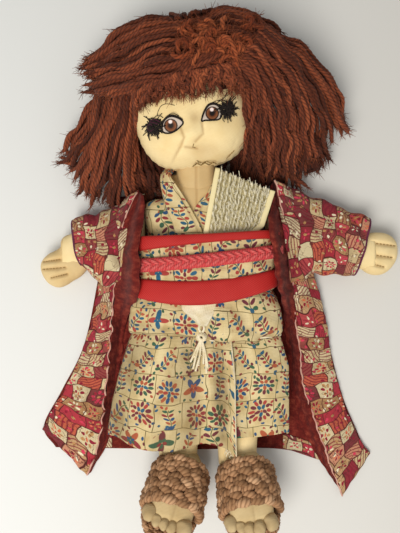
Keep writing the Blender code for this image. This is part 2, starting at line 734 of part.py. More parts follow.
def make_head(parts, cutters, skin):
    """Makes the head and the neck, cut to fit under it."""
    hinge = (NECK_CENTRE_X, TORSO_TOP_Y, NECK_HINGE_Z)
    head = head_solid("head", 0.0, True, parts, skin)
    seat = mark_cutter(head_solid("head_cutter", HAIR_SEAT, False, cutters))
    rings = []
    for up, half, low, high in NECK_SHARES:
        y = TORSO_TOP_Y + GAP + NECK_LENGTH * up
        width = NECK_HALF_WIDTH * half
        rings.append(flat_ring((NECK_CENTRE_X - width, y), (NECK_CENTRE_X + width, y),
                               NECK_REST_Z + NECK_THICKNESS * low, NECK_REST_Z + NECK_THICKNESS * high,
                               24, SOFT_SQUARENESS))
    neck = cut(loft("neck", rings, parts, skin), seat)
    set_origin(neck, hinge)
    set_origin(head, hinge)
    return seat


def outline_stack(name, outline, reach, base, height, levels, fall, collection, material):
    """Stacks a plan outline, drawn in towards its middle, into a rounded solid whose top may slope."""
    shares = np.array(outline)
    middle = shares.mean(axis=0)
    start_across, start_along, fall_across, fall_along = fall
    rings = []
    for rise, scale in levels:
        plan = middle + (shares - middle) * scale
        left = 1.0 - (plan[:, 0] - start_across) * fall_across - (plan[:, 1] - start_along) * fall_along
        place = plan * reach + np.array(HEAD_CENTRE[:2])
        rings.append([(x, y, base + height * rise * keep) for (x, y), keep in zip(place, left)])
    return loft(name, rings, collection, material)


def make_hair(parts, seat, yarn):
    """Makes the five bunches of hair, each cut to sit on the head."""
    bunches = (
        ("hair_side_right", HAIR_RIGHT_SHARES, HAIR_REST_Z, HAIR_RIGHT_HEIGHT, HAIR_DOME_SHARES,
         HAIR_RIGHT_FALL_SHARES),
        ("hair_side_left", HAIR_LEFT_SHARES, HAIR_REST_Z, HAIR_LEFT_HEIGHT, HAIR_DOME_SHARES,
         HAIR_LEFT_FALL_SHARES),
        ("hair_crown", HAIR_CROWN_SHARES, HAIR_REST_Z, HAIR_CROWN_HEIGHT, HAIR_BLOCK_SHARES,
         HAIR_CROWN_FALL_SHARES),
        ("hair_fringe", HAIR_FRINGE_SHARES, HAIR_FRINGE_LOW, HAIR_FRINGE_HEIGHT, HAIR_BLOCK_SHARES,
         HAIR_LEVEL_SHARES),
        ("hair_back", HAIR_BACK_SHARES, 0.0, HAIR_BACK_HEIGHT, HAIR_SLAB_SHARES, HAIR_LEVEL_SHARES),
    )
    reach = HEAD_HALF_WIDTH + HAIR_BEYOND
    for name, outline, base, height, levels, fall in bunches:
        bunch = outline_stack(name, outline, reach, base, height, levels, fall, parts, yarn)
        set_origin(bunch, (NECK_CENTRE_X, TORSO_TOP_Y, NECK_HINGE_Z))
        cut(bunch, seat)


def face_patch(name, outline, width, height, thickness, place, turn, collection, material):
    """Lays a small flat piece on the face, square to the surface there."""
    x, y = place
    step = EYE_HEIGHT / 2.0
    slope_x = (face_height(x + step, y) - face_height(x - step, y)) / (2.0 * step)
    slope_y = (face_height(x, y + step) - face_height(x, y - step)) / (2.0 * step)
    normal = Vector((-slope_x, -slope_y, 1.0)).normalized()
    side = Vector((math.cos(turn), math.sin(turn), 0.0))
    side = (side - normal * side.dot(normal)).normalized()
    upward = normal.cross(side)
    middle = Vector((x, y, face_height(x, y))) + normal * GAP
    rings = []
    for lift in (0.0, thickness):
        ring = []
        for across, along in outline:
            ring.append(tuple(middle + side * across * width + upward * along * height + normal * lift))
        rings.append(ring)
    obj = loft(name, rings, collection, material)
    set_origin(obj, (NECK_CENTRE_X, TORSO_TOP_Y, NECK_HINGE_Z))
    return obj


def make_eyes(parts, eye_paint, thread):
    """Makes both eyes and the tufts of lashes at their outer corners."""
    half = np.array((HEAD_HALF_WIDTH, HEAD_HALF_LENGTH))
    for name, shares, side in (("left", EYE_LEFT_SHARES, 1.0), ("right", EYE_RIGHT_SHARES, -1.0)):
        place = tuple(np.array(HEAD_CENTRE[:2]) + half * np.array(shares))
        eye_outline = [(across * side, along) for across, along in EYE_OUTLINE_SHARES]
        face_patch("eye_" + name, eye_outline, EYE_WIDTH, EYE_HEIGHT, EYE_THICKNESS, place, EYE_TURN,
                   parts, eye_paint)
        lash_place = (place[0] + side * LASH_REACH * math.cos(EYE_TURN),
                      place[1] + side * LASH_REACH * math.sin(EYE_TURN))
        lash_outline = [(-across * side, along) for across, along in LASH_OUTLINE_SHARES]
        face_patch("lash_" + name, lash_outline, LASH_WIDTH, LASH_HEIGHT, LASH_THICKNESS, lash_place, EYE_TURN,
                   parts, thread)


def make_arm(name, side, reach, drop, start_y, collection, material):
    """Makes one stuffed arm with its hand and thumb."""
    rings = []
    direction = np.array((side * reach, -drop))
    direction = direction / np.linalg.norm(direction)
    normal = np.array((-direction[1], direction[0])) * side
    for out, down, above, below, low, high in ARM_SHARES:
        middle = np.array((side * (SHOULDER_HINGE_X + GAP + reach * out), start_y - drop * down))
        way = np.array((0.0, 1.0)) if out == 0.0 else normal
        rings.append(flat_ring(middle - way * ARM_HALF_WIDTH * below, middle + way * ARM_HALF_WIDTH * above,
                               ARM_REST_Z + ARM_THICKNESS * low, ARM_REST_Z + ARM_THICKNESS * high,
                               16, SOFT_SQUARENESS))
    arm = loft(name, rings, collection, material)
    set_origin(arm, (side * SHOULDER_HINGE_X, start_y, SHOULDER_HINGE_Z))


def make_sleeve(name, side, table, reach, depth, top, start_y, collection, material):
    """Makes one wide haori sleeve, open at both ends."""
    rings = []
    start_x = SHOULDER_HINGE_X + 2.0 * GAP
    for inward in (0.0, CLOTH):
        rows = table if inward == 0.0 else tuple(reversed(table))
        for up_out, up_down, low_out, low_down, low, high in rows:
            upper = np.array((side * (start_x + reach * up_out), top - depth * up_down))
            lower = np.array((side * (start_x + reach * low_out), top - depth * low_down))
            along = (upper - lower) / np.linalg.norm(upper - lower)
            rings.append(flat_ring(lower + along * inward, upper - along * inward,
                                   SLEEVE_REST_Z + SLEEVE_THICKNESS * low + inward,
                                   SLEEVE_REST_Z + SLEEVE_THICKNESS * high - inward, 28, CLOTH_SQUARENESS))
    sleeve = loop_loft(name, rings, collection, material)
    set_origin(sleeve, (side * SHOULDER_HINGE_X, start_y, SHOULDER_HINGE_Z))


def make_arms(parts, skin, haori):
    """Makes both arms and both sleeves."""
    make_arm("arm_left", 1.0, ARM_LEFT_REACH, ARM_LEFT_DROP, ARM_LEFT_START_Y, parts, skin)
    make_arm("arm_right", -1.0, ARM_RIGHT_REACH, ARM_RIGHT_DROP, ARM_RIGHT_START_Y, parts, skin)
    make_sleeve("haori_sleeve_left", 1.0, SLEEVE_LEFT_SHARES, SLEEVE_LEFT_REACH, SLEEVE_LEFT_DEPTH,
                SLEEVE_LEFT_TOP_Y, ARM_LEFT_START_Y, parts, haori)
    make_sleeve("haori_sleeve_right", -1.0, SLEEVE_RIGHT_SHARES, SLEEVE_RIGHT_REACH, SLEEVE_RIGHT_DEPTH,
                SLEEVE_RIGHT_TOP_Y, ARM_RIGHT_START_Y, parts, haori)


def make_haori(parts, haori):
    """Makes the haori's back sheet and its two open fronts."""
    left = [(-HAORI_HALF_WIDTH * a, HAORI_SHOULDER_Y - HAORI_LENGTH * d) for d, a, b in HAORI_BACK_SHARES]
    right = [(HAORI_HALF_WIDTH * b, HAORI_SHOULDER_Y - HAORI_LENGTH * d) for d, a, b in HAORI_BACK_SHARES]
    laid_panel("haori_back", left, right, 6, lambda x, y, s: 0.0, CLOTH, parts, haori)

    def folded(x, y, share):
        fall = min(1.0, max(0.0, (FRONT_TOP_Y - y) / FRONT_RIGHT_LENGTH))
        wave = (1.0 - math.cos(2.0 * math.pi * FRONT_FOLDS * share)) / 2.0
        return CLOTH + GAP + FRONT_FOLD_HEIGHT * wave * (FRONT_TOP_FOLD_SHARE + (1.0 - FRONT_TOP_FOLD_SHARE) * fall)

    sides = (("haori_front_left", 1.0, FRONT_LEFT_SHARES, FRONT_LEFT_REACH, FRONT_LEFT_LENGTH),
             ("haori_front_right", -1.0, FRONT_RIGHT_SHARES, FRONT_RIGHT_REACH, FRONT_RIGHT_LENGTH))
    for name, side, table, reach, length in sides:
        inner = [(side * reach * a, FRONT_TOP_Y - length * b) for a, b, c, d in table]
        outer = [(side * reach * c, FRONT_TOP_Y - length * d) for a, b, c, d in table]
        laid_panel(name, inner, outer, FRONT_COLUMNS, folded, CLOTH, parts, haori)


def foot_matrix(x, turn):
    """Places a foot's own frame: +Y from heel to toe, +Z from sole to instep."""
    place = Matrix.Translation((x, FOOT_HEEL_Y, FOOT_HEEL_Z))
    return place @ Matrix.Rotation(math.pi + turn, 4, "Z") @ Matrix.Rotation(FOOT_PITCH, 4, "X")


def foot_rings(grow):
    """Makes the rings of a foot in its own frame, grown by a seat."""
    rings = []
    for along, half, low, high in FOOT_SHARES:
        y = -grow + (FOOT_LENGTH + 2.0 * grow) * along
        width = FOOT_HALF_WIDTH * half + grow
        rings.append(flat_ring((-width, y), (width, y), FOOT_HEIGHT * low - grow, FOOT_HEIGHT * high + grow,
                               20, SOFT_SQUARENESS))
    return rings


def make_leg(side_name, x, foot_x, turn, parts, cutters, skin, foot_skin, sole_yarn, strap_yarn):
    """Makes one leg with its foot and its crochet sandal."""
    hinge = (x, TORSO_TOP_Y - TORSO_LENGTH, HIP_HINGE_Z)
    matrix = foot_matrix(foot_x, turn)
    rings = []
    top_y = TORSO_TOP_Y - TORSO_LENGTH - GAP
    for down, half, low, high in LEG_SHARES:
        ankle = max(0.0, down - ANKLE_START_SHARE) / (1.0 - ANKLE_START_SHARE)
        middle = x + LEG_DRIFT * down + (foot_x - x - LEG_DRIFT) * ankle
        y = top_y - LEG_LENGTH * down
        width = LEG_HALF_WIDTH * half
        rings.append(flat_ring((middle - width, y), (middle + width, y), LEG_REST_Z + LEG_THICKNESS * low,
                               LEG_REST_Z + LEG_THICKNESS * high, 20, SOFT_SQUARENESS))
    leg = loft("leg_" + side_name, rings, parts, skin)
    set_origin(leg, hinge)
    seam = mark_cutter(loft("ankle_cutter_" + side_name, turned(foot_rings(ANKLE_SEAM), matrix), cutters))
    cut(leg, seam)
    foot = loft("foot_" + side_name, turned(foot_rings(0.0), matrix), parts, foot_skin)
    set_origin(foot, hinge)
    make_sandal(side_name, matrix, parts, sole_yarn, strap_yarn)


def make_sandal(side_name, matrix, parts, sole_yarn, strap_yarn):
    """Makes the sole under a foot and the wide strap over its instep."""
    rings = []
    for along, half in SOLE_SHARES:
        y = -SOLE_HEEL_OVERHANG + SOLE_LENGTH * along
        width = SOLE_HALF_WIDTH * half
        rings.append(flat_ring((-width, y), (width, y), -SOLE_THICKNESS - GAP, -GAP, 16, SOLE_SQUARENESS))
    sole = loft("sandal_sole_" + side_name, turned(rings, matrix), parts, sole_yarn)
    inner_width = FOOT_HALF_WIDTH + STRAP_ROOM
    inner_height = FOOT_HEIGHT + STRAP_ROOM
    rings = []
    steps = 20
    for row in range(4):
        y = STRAP_START + STRAP_WIDTH * row / 3.0
        bulge = STRAP_THICKNESS * (1.0 if row in (1, 2) else STRAP_EDGE_SHARE)
        ring = []
        for i in range(steps + 1):
            across, up = squarish(math.pi * i / steps, STRAP_SQUARENESS)
            ring.append((inner_width * across, y, inner_height * abs(up)))
        for i in range(steps, -1, -1):
            across, up = squarish(math.pi * i / steps, STRAP_SQUARENESS)
            ring.append(((inner_width + bulge) * across, y, (inner_height + bulge) * abs(up)))
        rings.append(ring)
    strap = loft("sandal_strap_" + side_name, turned(rings, matrix), parts, strap_yarn)
    origin = matrix @ Vector((0.0, 0.0, 0.0))
    set_origin(sole, origin)
    set_origin(strap, origin)


def make_skirt(parts, kimono, cream):
    """Makes the kimono's skirt, wrapped left over right, and the tassel on it."""
    hinge = (0.0, TORSO_TOP_Y - TORSO_LENGTH, HIP_HINGE_Z)
    rows = np.array(SKIRT_SHARES)
    rings = []
    steps = 40
    for inward in (0.0, CLOTH):
        levels = np.linspace(0.0, 1.0, 8)
        if inward > 0.0:
            levels = levels[::-1]
        levels = [max(0.0, share) for share in levels]
        for share in levels:
            right, left, low, high = [np.interp(share, rows[:, 0], rows[:, k]) for k in (1, 2, 3, 4)]
            start = -SKIRT_HALF_WIDTH * right + inward
            end = SKIRT_HALF_WIDTH * left - inward
            y = TORSO_TOP_Y - TORSO_LENGTH - 2.0 * GAP - SKIRT_LENGTH * share
            ring = flat_ring((start, y), (end, y), SKIRT_REST_Z + SKIRT_THICKNESS * low + inward,
                             SKIRT_REST_Z + SKIRT_THICKNESS * high - inward, steps, SKIRT_SQUARENESS)
            settled = min(1.0, share / SKIRT_FOLD_START_SHARE)
            shaped = []
            for px, py, pz in ring:
                across = (px - start) / (end - start)
                top = min(1.0, max(0.0, (pz - HIP_HINGE_Z / 2.0) / (HIP_HINGE_Z / 2.0)))
                fold = (1.0 - math.cos(2.0 * math.pi * SKIRT_FOLDS * across)) / 2.0
                step = SKIRT_WRAP_STEP if px > SKIRT_WRAP_X else 0.0
                shaped.append((px, py, pz - (SKIRT_FOLD_DEPTH * fold + step) * top * settled))
            rings.append(shaped)
    skirt = loop_loft("kimono_skirt", rings, parts, kimono)
    set_origin(skirt, hinge)
    tassel_y = TORSO_TOP_Y - TORSO_LENGTH - 2.0 * GAP - SKIRT_LENGTH * SKIRT_SHARES[1][0]
    height = SKIRT_REST_Z + SKIRT_THICKNESS + GAP - TASSEL_SEAT
    rings = []
    for along, half in TASSEL_SHARES:
        y = tassel_y - TASSEL_LENGTH * along
        width = TASSEL_HALF_WIDTH * half
        rings.append(flat_ring((KNOT_X - width, y), (KNOT_X + width, y), height, height + TASSEL_THICKNESS, 10,
                               SOFT_SQUARENESS))
    tassel = loft("waist_tassel", rings, parts, cream)
    set_origin(tassel, hinge)


def fan_height(x, y):
    """Returns the middle height of the fan's plane, which leans on the chest."""
    return FAN_BASE_Z + FAN_RISE_SHARE * (y - FAN_RIGHT_FOOT[1]) - FAN_FALL_SHARE * x


def make_fan(parts, paper, guard_wood):
    """Makes the pleated leaf of the fan and its two guards."""
    right_foot = np.array(FAN_RIGHT_FOOT)
    left_foot = np.array(FAN_LEFT_FOOT)
    right_tip = np.array(FAN_RIGHT_TIP)
    left_tip = np.array(FAN_LEFT_TIP)
    right_way = (right_tip - right_foot) / np.linalg.norm(right_tip - right_foot)
    tuck_right = right_foot - right_way * FAN_TUCK
    tuck_left = tuck_right + (left_foot - right_foot) * FAN_TUCK_SPREAD_SHARE
    edges = ((tuck_right, tuck_left), (right_foot, left_foot), (right_tip, left_tip))
    origin = (*FAN_RIGHT_FOOT, FAN_BASE_Z)
    rings = []
    for start, end in edges:
        margin = (FAN_GUARD_WIDTH + 2.0 * GAP) / np.linalg.norm(end - start)
        upper = []
        lower = []
        folds = 2 * FAN_PLEATS
        for i in range(folds + 1):
            share = margin + (1.0 - 2.0 * margin) * i / folds
            x, y = start + (end - start) * share
            z = fan_height(x, y) + FAN_PLEAT_DEPTH * (0.5 if i % 2 else -0.5)
            upper.append((x, y, z + FAN_PAPER / 2.0))
            lower.append((x, y, z - FAN_PAPER / 2.0))
        rings.append(upper + lower[::-1])
    leaf = loft("fan_leaf", rings, parts, paper)
    set_origin(leaf, origin)
    for name, near in (("fan_guard_right", True), ("fan_guard_left", False)):
        rings = []
        for start, end in edges:
            width = FAN_GUARD_WIDTH / np.linalg.norm(end - start)
            first = 0.0 if near else 1.0 - width
            a = start + (end - start) * first
            b = start + (end - start) * (first + width)
            ring = []
            for point, up in ((a, -0.5), (b, -0.5), (b, 0.5), (a, 0.5)):
                ring.append((point[0], point[1], fan_height(point[0], point[1]) + FAN_GUARD_THICKNESS * up))
            rings.append(ring)
        guard = loft(name, rings, parts, guard_wood)
        set_origin(guard, origin)


def main():
    """Builds the doll, piece by piece."""
    clear_scene()
    parts = new_collection(PARTS_NAME)
    cutters = new_collection(CUTTERS_NAME)
    skin = new_material("calico_skin", (0.90, 0.76, 0.46), 0.85)
    foot_skin = new_material("tanned_calico", (0.47, 0.35, 0.16), 0.85)
    yarn = new_material("auburn_yarn", (0.15, 0.036, 0.018), 0.90)
    kimono = new_material("printed_kimono_cotton", (0.70, 0.55, 0.30), 0.85)
    obi_print = new_material("printed_obi_cotton", (0.66, 0.52, 0.29), 0.85)
    haori = new_material("printed_haori_cotton", (0.45, 0.03, 0.05), 0.85)
    red = new_material("red_ribbon", (0.76, 0.035, 0.031), 0.60)
    pink = new_material("pink_knit", (0.66, 0.08, 0.10), 0.90)
    cream = new_material("cream_cotton", (0.78, 0.66, 0.42), 0.85)
    eye_paint = new_material("eye_paint", (0.10, 0.035, 0.015), 0.45)
    thread = new_material("black_thread", (0.012, 0.010, 0.008), 0.80)
    sole_yarn = new_material("tan_crochet_sole", (0.42, 0.22, 0.11), 0.90)
    strap_yarn = new_material("tan_crochet_strap", (0.56, 0.33, 0.18), 0.90)
    paper = new_material("cream_paper", (0.80, 0.73, 0.50), 0.70)
    guard_wood = new_material("pale_bamboo", (0.78, 0.66, 0.36), 0.55)

    make_haori(parts, haori)
    make_torso(parts, skin)
    make_bodice(parts, cutters, kimono)
    make_lapels(parts, kimono)
    make_obi(parts, obi_print, red, pink)
    make_overfold(parts, kimono, cream)
    seat = make_head(parts, cutters, skin)
    make_hair(parts, seat, yarn)
    make_eyes(parts, eye_paint, thread)
    make_arms(parts, skin, haori)
    make_leg("left", LEG_LEFT_X, FOOT_LEFT_X, FOOT_LEFT_TURN, parts, cutters, skin, foot_skin,
             sole_yarn, strap_yarn)
    make_leg("right", LEG_RIGHT_X, FOOT_RIGHT_X, FOOT_RIGHT_TURN, parts, cutters, skin, foot_skin,
             sole_yarn, strap_yarn)
    make_skirt(parts, kimono, cream)
    make_fan(parts, paper, guard_wood)


if __name__ == "__main__":
    main()
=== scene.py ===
import logging
import math
from dataclasses import dataclass, field
from enum import Enum

import bmesh
import bpy
import numpy as np
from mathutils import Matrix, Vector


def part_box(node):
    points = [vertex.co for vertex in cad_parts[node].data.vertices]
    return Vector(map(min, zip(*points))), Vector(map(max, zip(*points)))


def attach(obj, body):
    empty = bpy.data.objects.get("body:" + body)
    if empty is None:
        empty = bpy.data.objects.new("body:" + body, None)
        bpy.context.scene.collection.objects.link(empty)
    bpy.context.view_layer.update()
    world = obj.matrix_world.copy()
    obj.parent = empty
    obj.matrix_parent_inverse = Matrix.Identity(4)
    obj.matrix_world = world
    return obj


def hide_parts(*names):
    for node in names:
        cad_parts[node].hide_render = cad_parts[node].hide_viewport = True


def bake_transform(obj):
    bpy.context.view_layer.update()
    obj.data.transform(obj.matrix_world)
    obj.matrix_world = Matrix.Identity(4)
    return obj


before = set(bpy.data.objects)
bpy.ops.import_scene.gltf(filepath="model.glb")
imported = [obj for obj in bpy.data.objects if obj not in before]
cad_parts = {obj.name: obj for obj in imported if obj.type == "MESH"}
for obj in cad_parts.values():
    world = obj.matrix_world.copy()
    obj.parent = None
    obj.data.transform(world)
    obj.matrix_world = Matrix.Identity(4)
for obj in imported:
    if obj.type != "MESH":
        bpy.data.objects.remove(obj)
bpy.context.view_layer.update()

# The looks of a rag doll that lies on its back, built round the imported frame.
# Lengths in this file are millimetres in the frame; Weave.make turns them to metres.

LOG = logging.getLogger("rag_doll")
MM = 0.001
TURN = 2.0 * math.pi
SEED = 4021
# The direction that a tube's height is measured from, a little off upright so that no tube runs along it
SKYWARD = (0.08, 0.12, 1.0)
Array = np.ndarray
Socket = bpy.types.NodeSocket

# Scale of a wave texture whose bands are one unit apart
WAVE = 0.314
# The least height of cloth over the ground, in mm
LOWEST = 1.9

# The photograph's scale: millimetres a pixel on the ground, and the camera's height above it
GROUND_SCALE = 0.863
CAMERA_HEIGHT = 480.0
CENTRE_PIXEL = (200, 266.5)
CENTRE_SHIFT = -4.0


def joint(*parts: Array) -> Array:
    """Stacks arrays along a new last axis, each spread to the shape of the largest."""
    return np.stack(np.broadcast_arrays(*parts), axis=-1)


def steps(count: int) -> Array:
    """Even steps from 0 to 1."""
    return np.linspace(0, 1, count)


def at_pixel(px: Array, py: Array, z: Array) -> Array:
    """Place in the frame of a point of the photograph at a known height.

    Across is the shift plus pixels from the middle times the scale at that height,
    which shrinks in proportion to how near the point is to the camera.

    Args:
        px: Pixels across.
        py: Pixels down.
        z: Heights in mm.

    Returns:
        Points in mm, with a last axis of three.
    """
    px, py, z = np.broadcast_arrays(np.asarray(px, float), np.asarray(py, float), np.asarray(z, float))
    scale = GROUND_SCALE * (1.0 - z / CAMERA_HEIGHT)
    return joint(CENTRE_SHIFT + (px - CENTRE_PIXEL[0]) * scale, (CENTRE_PIXEL[1] - py) * scale, z)


def pixel_of(points: Array) -> tuple[Array, Array]:
    """Pixel of the photograph at which a place in the frame shows, the inverse of at_pixel."""
    scale = GROUND_SCALE * (1.0 - points[..., 2] / CAMERA_HEIGHT)
    return CENTRE_PIXEL[0] + (points[..., 0] - CENTRE_SHIFT) / scale, CENTRE_PIXEL[1] - points[..., 1] / scale


def placed(rows: list) -> Array:
    """Turns nested lists of (pixel across, pixel down, height) into places in mm."""
    data = np.asarray(rows, float)
    return at_pixel(data[..., 0], data[..., 1], data[..., 2])


def spline(points: Array, t: Array, axis: int = 0) -> Array:
    """Smooth curve through points: the Catmull-Rom cubic of each four neighbours.

    Args:
        points: Control points, spaced one apart along the axis.
        t: Places along them, from 0 to 1.
        axis: The axis that holds the control points.

    Returns:
        Points at the asked places, along the same axis.
    """
    p = np.moveaxis(np.asarray(points, float), axis, 0)
    q = np.concatenate([(2 * p[0] - p[1])[None], p, (2 * p[-1] - p[-2])[None]])
    place = np.clip(np.asarray(t, float), 0.0, 1.0) * (len(p) - 1)
    i = np.minimum(place.astype(int), len(p) - 2)
    f = (place - i).reshape((-1,) + (1,) * (p.ndim - 1))
    a, b, c, d = q[i], q[i + 1], q[i + 2], q[i + 3]
    out = 0.5 * (2 * b + (c - a) * f + (2 * a - 5 * b + 4 * c - d) * f ** 2 + (3 * b - a - 3 * c + d) * f ** 3)
    return np.moveaxis(out, 0, axis)


def patch(net: Array, rows: int, cols: int) -> Array:
    """Smooth surface through a net of control points: a spline down it and one across."""
    return spline(spline(net, steps(rows), 0), steps(cols), 1)


def ripples(x: Array, y: Array, seed: int, wavelength: float, waves: int = 6) -> Array:
    """Soft uneven waves: a sum of sines in scattered directions, about one high.

    Args:
        x: First coordinate in mm.
        y: Second coordinate in mm.
        seed: Seed of the directions and phases.
        wavelength: Mean distance between crests in mm.
        waves: Number of sines.

    Returns:
        Heights, about -1 to 1.
    """
    rng = np.random.default_rng(seed)
    total = np.zeros(np.broadcast(x, y).shape)
    for angle, phase, stretch in zip(rng.uniform(0, TURN, waves), rng.uniform(0, TURN, waves),
            rng.uniform(0.7, 1.6, waves)):
        total = total + np.sin(TURN * (x * math.cos(angle) + y * math.sin(angle)) / (wavelength * stretch) + phase)
    return total / math.sqrt(waves)


def near_line(x: Array, y: Array, line: list, width: float) -> Array:
    """How near each point is to a line of points: one on it, and a Gaussian fall to zero.

    Args:
        x: First coordinate.
        y: Second coordinate.
        line: Points of the line, two numbers each.
        width: Distance at which the value has fallen to 1/e.

    Returns:
        Values from 0 to 1.
    """
    best = np.full(np.broadcast(x, y).shape, 1e9)
    for (ax, ay), (bx, by) in zip(line[:-1], line[1:]):
        length = (bx - ax) ** 2 + (by - ay) ** 2
        t = np.clip(((x - ax) * (bx - ax) + (y - ay) * (by - ay)) / length, 0, 1)
        best = np.minimum(best, (x - ax - t * (bx - ax)) ** 2 + (y - ay - t * (by - ay)) ** 2)
    return np.exp(-best / width ** 2)


def mound(x: Array, y: Array, centre: tuple, radii: tuple) -> Array:
    """Round mound one high: a Gaussian of the distance in radii from its centre."""
    return np.exp(-((x - centre[0]) / radii[0]) ** 2 - ((y - centre[1]) / radii[1]) ** 2)


def worked(x: Array, y: Array, items: tuple, start: Array = 0.0) -> Array:
    """Sum of folds and mounds: each item's amount times its near_line, or its mound where its size is a pair.

    Args:
        x: First coordinate.
        y: Second coordinate.
        items: Amount, line or centre, and width or radii of each.
        start: What they are added to.

    Returns:
        Heights or shades.
    """
    for amount, place, size in items:
        start = start + amount * (mound if isinstance(size, tuple) else near_line)(x, y, place, size)
    return start


def unit(vectors: Array) -> Array:
    """Vectors over their own lengths."""
    return vectors / np.maximum(np.linalg.norm(vectors, axis=-1, keepdims=True), 1e-9)


def normals_of(points: Array) -> Array:
    """Unit normals of a grid of points: the cross product of its two gradients."""
    return unit(np.cross(np.gradient(points, axis=1), np.gradient(points, axis=0)))


def closed(grid: Array, axis: int, shut: bool = True) -> Array:
    """A grid with its first row or column once more at its end, if that way is shut."""
    return np.concatenate([grid, grid.take([0], axis)], axis) if shut else grid


def round_normals(points: Array) -> Array:
    """Unit normals of a grid whose columns close into a ring."""
    return normals_of(np.concatenate([points[:, -1:], points, points[:, :1]], axis=1))[:, 1:-1]


def arc_uv(points: Array) -> Array:
    """Cloth coordinates in mm: distance run along each row and down each column."""
    steps_of = [np.linalg.norm(np.diff(points, axis=axis), axis=-1).mean(axis=1 - axis) for axis in (1, 0)]
    return np.stack(np.meshgrid(*[np.append(0.0, np.cumsum(step)) for step in steps_of]), axis=-1)


def squarish(angle: Array, squareness: float) -> tuple[Array, Array]:
    """Point of a superellipse at an angle: cosine and sine, each to a power below one.

    Args:
        angle: Angles in radians.
        squareness: 2 for an ellipse, more for a squarer shape.

    Returns:
        Both coordinates, from -1 to 1.
    """
    power = 2.0 / squareness
    c, s = np.cos(angle), np.sin(angle)
    return np.sign(c) * np.abs(c) ** power, np.sign(s) * np.abs(s) ** power


def quads_of(index: Array) -> Array:
    """Corner indices of every cell of a grid of indices, also of several grids at once."""
    ring = (index[..., :-1, :-1], index[..., :-1, 1:], index[..., 1:, 1:], index[..., 1:, :-1])
    return np.stack(ring, axis=-1).reshape(-1, 4)


